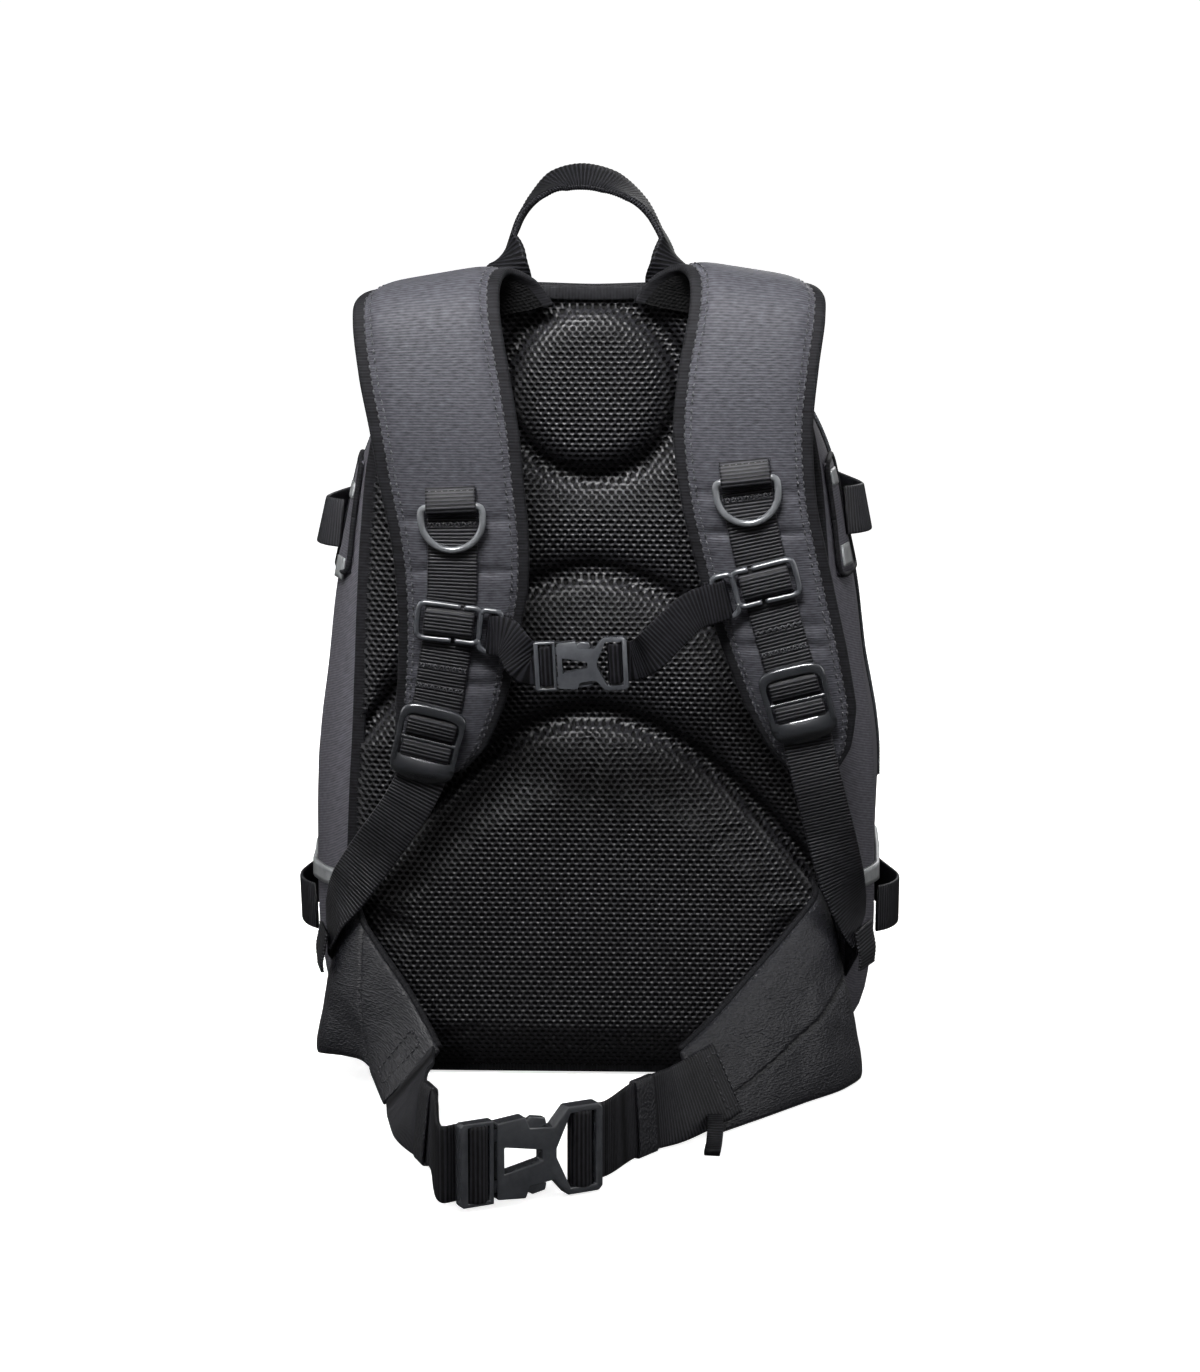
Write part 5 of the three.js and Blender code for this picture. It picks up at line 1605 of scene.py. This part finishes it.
# Each wing with its webbing, its swell, its keeper's stretch of webbing and the share of that, its fold, and
# the face that the webbing is sewn to
HIPS = table("side wing webbing swell keeper fold face", [
    ["left", WING_LEFT, HIP_WEBBING_LEFT, 3, (3, 0.5), Fold(0.46, 1, 0.86, 0, 1.6), -1],
    ["right", WING_RIGHT, HIP_WEBBING_RIGHT, -3, (2, 0.55), Fold(0.03, 0.64, 0.97, 0.3, 1.6), 1],
])
for side, wing, webbing, swell, keeper, fold, face in HIPS:
    wing_piece = piece(
        f"hip_fin_{side}", wing_cloth(wing, swell, [fold]), WING_NYLON,
        [f"hip_wing_{side}"])
    puffed(wing_piece, wing_held, most=2)
    piece(f"fin_piping_{side}", wing_piping(wing), BINDING_TAPE)
    sewn = belt_start(wing, swell, fold_rise(fold, SEWN_FROM, 0.5), face)
    outwards = wing_frame(wing, SEWN_FROM)[2] * math.copysign(1, swell)
    top_layer = BELT.thick / 2 if face > 0 else wing[-1].thick + BELT.thick / 2 + GAP
    corners = [
        station.at + station.across * (edge * BELT.width / 2) + outwards * (top_layer + STITCH["lift"])
        for station in sewn for edge in (-BOX["width"], BOX["width"])
    ]
    piece(f"belt_stitching_{side}", sewn_lines(corners, BOX_LINES, outwards), THREAD)
    belt = [
        *sewn,
        *stations_of(webbing)[1:],
        *slot_stations(hip_place, HIP_BUCKLE, SIGN[side], BELT.thick),
    ]
    piece(f"belt_webbing_{side}", ribbed_band(belt, BELT_SPREAD), WEBBING_YARN,
          [f"hip_webbing_{side}"])
    keeper_piece = piece(
        f"belt_keeper_{side}", sleeve(stations_of(webbing), *keeper), WING_NYLON,
        [f"hip_keeper_{side}"])
    wall = keeper_piece.modifiers.new("wall", "SOLIDIFY")
    wall.thickness = KEEPER["wall"] * MM
piece("belt_tail", ribbed_band(stations_of(HIP_TAIL), TAIL), WEBBING_YARN, ["hip_tail_right"])
buckle_half("belt_socket", "hip_buckle_socket", edge=2.2)
buckle_half("belt_plug", "hip_buckle_plug", edge=1.6)


# Side straps, patches, bands and tabs

# A side strap's loop: shares of its length, and of how far it stands off
SIDE_LOOP = [(0, 0), (0.06, 0.55), (0.16, 0.95), (0.28, 1), (0.45, 0.6), (0.62, 0.2), (0.8, 0), (1, 0)]
# The end of the lower strap's webbing: steps out and up from where it leaves its tab
TAIL_STEPS = [(2.2, 3), (3.4, -4), (4.6, -11), (4.2, -18)]
TAIL_AHEAD = 2  # the end hangs this far in front of the webbing
# Light marks on the patches, as heights over the upper side strap's middle
MARKS = table("low high", [
    [15, 23],
    [-27, -16],
])
MARK = {"start": -74, "end": -60, "thick": 0.9}
PATCH_PIPING = {"bend": 4, "radius": 1.5}


def side_sheet(sign, area, steps=(24, 12), lift=0):
    """A cloth patch that lies on the bag's side between two heights, or on another patch"""
    along_steps, high_steps = steps
    rings, weaves = [], []
    for i in range(along_steps + 1):
        y = lerp(area["start"], area["end"], i / along_steps)
        ring, weave = [], []
        for face, heights in ((1, range(high_steps + 1)), (0, range(high_steps, -1, -1))):
            for k in heights:
                z = lerp(area["low"], area["high"], k / high_steps)
                x = bag_side(sign, y, z) + GAP + lift + face * area["thick"]
                ring.append(Vector((sign * x, y, z)))
                weave.append((z, y, face))
        rings.append(ring)
        weaves.append(weave)
    return close_ends(skin(rings, weaves))


def patch_piping(sign):
    """A cord round the patch's edge"""
    low, high, start, end = PATCH["low"], PATCH["high"], PATCH["start"], PATCH["end"]
    middle = (low + high) / 2
    bend = PATCH_PIPING["bend"]
    path = [
        (start, middle),
        *rounded_corner(start, high, (0, -1), (1, 0), bend),
        *rounded_corner(end, high, (-1, 0), (0, -1), bend),
        (end, middle),
        *rounded_corner(end, low, (0, 1), (-1, 0), bend),
        *rounded_corner(start, low, (1, 0), (0, 1), bend),
        (start, middle),
    ]
    points = [(sign * (bag_side(sign, y, z) + GAP + PATCH["thick"]), y, z) for y, z in path]
    return round_cord(points, PATCH_PIPING["radius"], across=(1, 0, 0))


def tail_stations(end, sign):
    """A short folded end of webbing that hangs at the lower strap's tab"""
    across = Vector((end.ax, end.ay, end.az))
    return [
        Station(Vector((end.x + sign * out, end.y - TAIL_AHEAD, end.z + up)), across)
        for out, up in TAIL_STEPS
    ]


def side_strap(row):
    """A strap that leaves the bag's side, stands off it in a loop and comes back"""
    sign = SIGN[row.side]
    stations = []
    for share, off in SIDE_LOOP:
        y = lerp(row.start, row.end, share)
        under = row.over if y < PATCH["end"] else 0
        x = bag_side(sign, y, row.z) + under + 2 * GAP + WEBBING.thick / 2 + row.stand * off
        half = WEBBING.width / 2
        lean = bag_side(sign, y, row.z + half) - bag_side(sign, y, row.z - half)
        across = Vector((sign * lean, 0, WEBBING.width)).normalized()
        stations.append(Station(Vector((sign * x, y, row.z)), across))
    return ribbed_band(stations, WEBBING)


def anchor_tab(end, sign):
    """A folded cloth tab that holds the lower strap webbing to the bag's side"""
    y = end.y + TAB["reach"]
    low = end.z - TAB["drop"] - TAB["height"] / 2
    high = end.z - TAB["drop"] + TAB["height"] / 2
    x = end.x - sign * (WEBBING.thick / 2 + TAB["thick"] / 2 + GAP)
    lean = sign * TAB["lean"]
    return wing_cloth(table(WING_COLUMNS, [
        [x + lean * TAB["below"], end.y, end.z - TAB["below"],
         x - lean * TAB["above"], end.y, end.z + TAB["above"], TAB["thick"]],
        [sign * bag_side(sign, y, low), y, low, sign * bag_side(sign, y, high), y, high, TAB["thick"]],
    ]), swell=0, wrinkle=0.3, steps=(12, 16))


for side, lower in (("left", ADJUSTER_LEFT), ("right", ADJUSTER_RIGHT)):
    sign = SIGN[side]
    piece(f"patch_{side}", side_sheet(sign, PATCH), SHELL_NYLON, [f"side_patch_{side}"])
    piece(f"patch_piping_{side}", patch_piping(sign), BINDING_TAPE)
    strap_z = next(row.z for row in SIDE_STRAPS if row.side == side and row.name == "upper")
    marks = [
        side_sheet(
            sign, {**MARK, "low": strap_z + mark.low, "high": strap_z + mark.high}, steps=(6, 6),
            lift=PATCH["thick"])
        for mark in MARKS
    ]
    piece(f"patch_marks_{side}", joined(marks), TRIM_TAPE)
    tail = tail_stations(lower[-1], sign)
    piece(f"webbing_tail_{side}", ribbed_band(tail, WEBBING), WEBBING_YARN)
    piece(f"band_{side}", side_sheet(sign, SIDE_BAND, steps=(60, 4)), TRIM_TAPE,
          [f"pocket_trim_{side}"])
    piece(f"tab_{side}", anchor_tab(lower[-1], sign), WING_NYLON, [f"anchor_tab_{side}"])
for row in SIDE_STRAPS:
    piece(f"side_strap_{row.name}_{row.side}", side_strap(row), WEBBING_YARN,
          [f"compression_{row.name}_{row.side}"])


# Studio

FLOOR = {"radius": 7, "bend": 2.5, "wall": 6}  # metres


def studio_floor():
    """A pale floor that turns up all round far off"""
    bm = bmesh.new()
    flat = FLOOR["radius"] - FLOOR["bend"]
    profile = [(0, 0), (flat, 0)]
    profile += [
        (flat + FLOOR["bend"] * math.sin(a), FLOOR["bend"] * (1 - math.cos(a)))
        for a in np.linspace(0, math.pi / 2, 13)[1:]
    ]
    profile.append((FLOOR["radius"], FLOOR["wall"]))
    verts = [bm.verts.new((x, 0, z)) for x, z in profile]
    edges = [bm.edges.new(pair) for pair in zip(verts, verts[1:])]
    bmesh.ops.spin(
        bm, geom=verts + edges, axis=(0, 0, 1), angle=2 * math.pi, steps=64, use_merge=True)
    bmesh.ops.remove_doubles(bm, verts=bm.verts[:], dist=1e-4)
    bmesh.ops.recalc_face_normals(bm, faces=bm.faces[:])
    bmesh.ops.reverse_faces(bm, faces=bm.faces[:])
    mesh = bpy.data.meshes.new("floor")
    bm.to_mesh(mesh)
    bm.free()
    mesh.materials.append(FLOOR_PAINT)
    mesh.shade_smooth()
    floor = bpy.data.objects.new("floor", mesh)
    floor.visible_diffuse = False
    floor.visible_glossy = False
    bpy.context.scene.collection.objects.link(floor)


def studio_sky():
    """Soft light from all round that grows towards the top"""
    world = bpy.data.worlds.new("studio")
    world.use_nodes = True
    tree = world.node_tree
    tree.nodes.clear()
    way = node(tree, "SeparateXYZ", {"Vector": node(tree, "TexCoord").outputs["Generated"]})
    sky = node(tree, "MapRange", {
        "Value": way.outputs["Z"], "From Min": -0.3, "From Max": 0.8, "To Min": 0.04, "To Max": 0.48,
    })
    glow = node(tree, "Background", {"Color": (1, 1, 1, 1), "Strength": sky.outputs["Result"]})
    node(tree, "OutputWorld", {"Surface": glow.outputs["Background"]})
    bpy.context.scene.world = world
    bpy.context.scene.view_settings.view_transform = "Standard"


set_camera()
studio_floor()
studio_sky()
for row in LAMPS:
    hang_lamp(row)
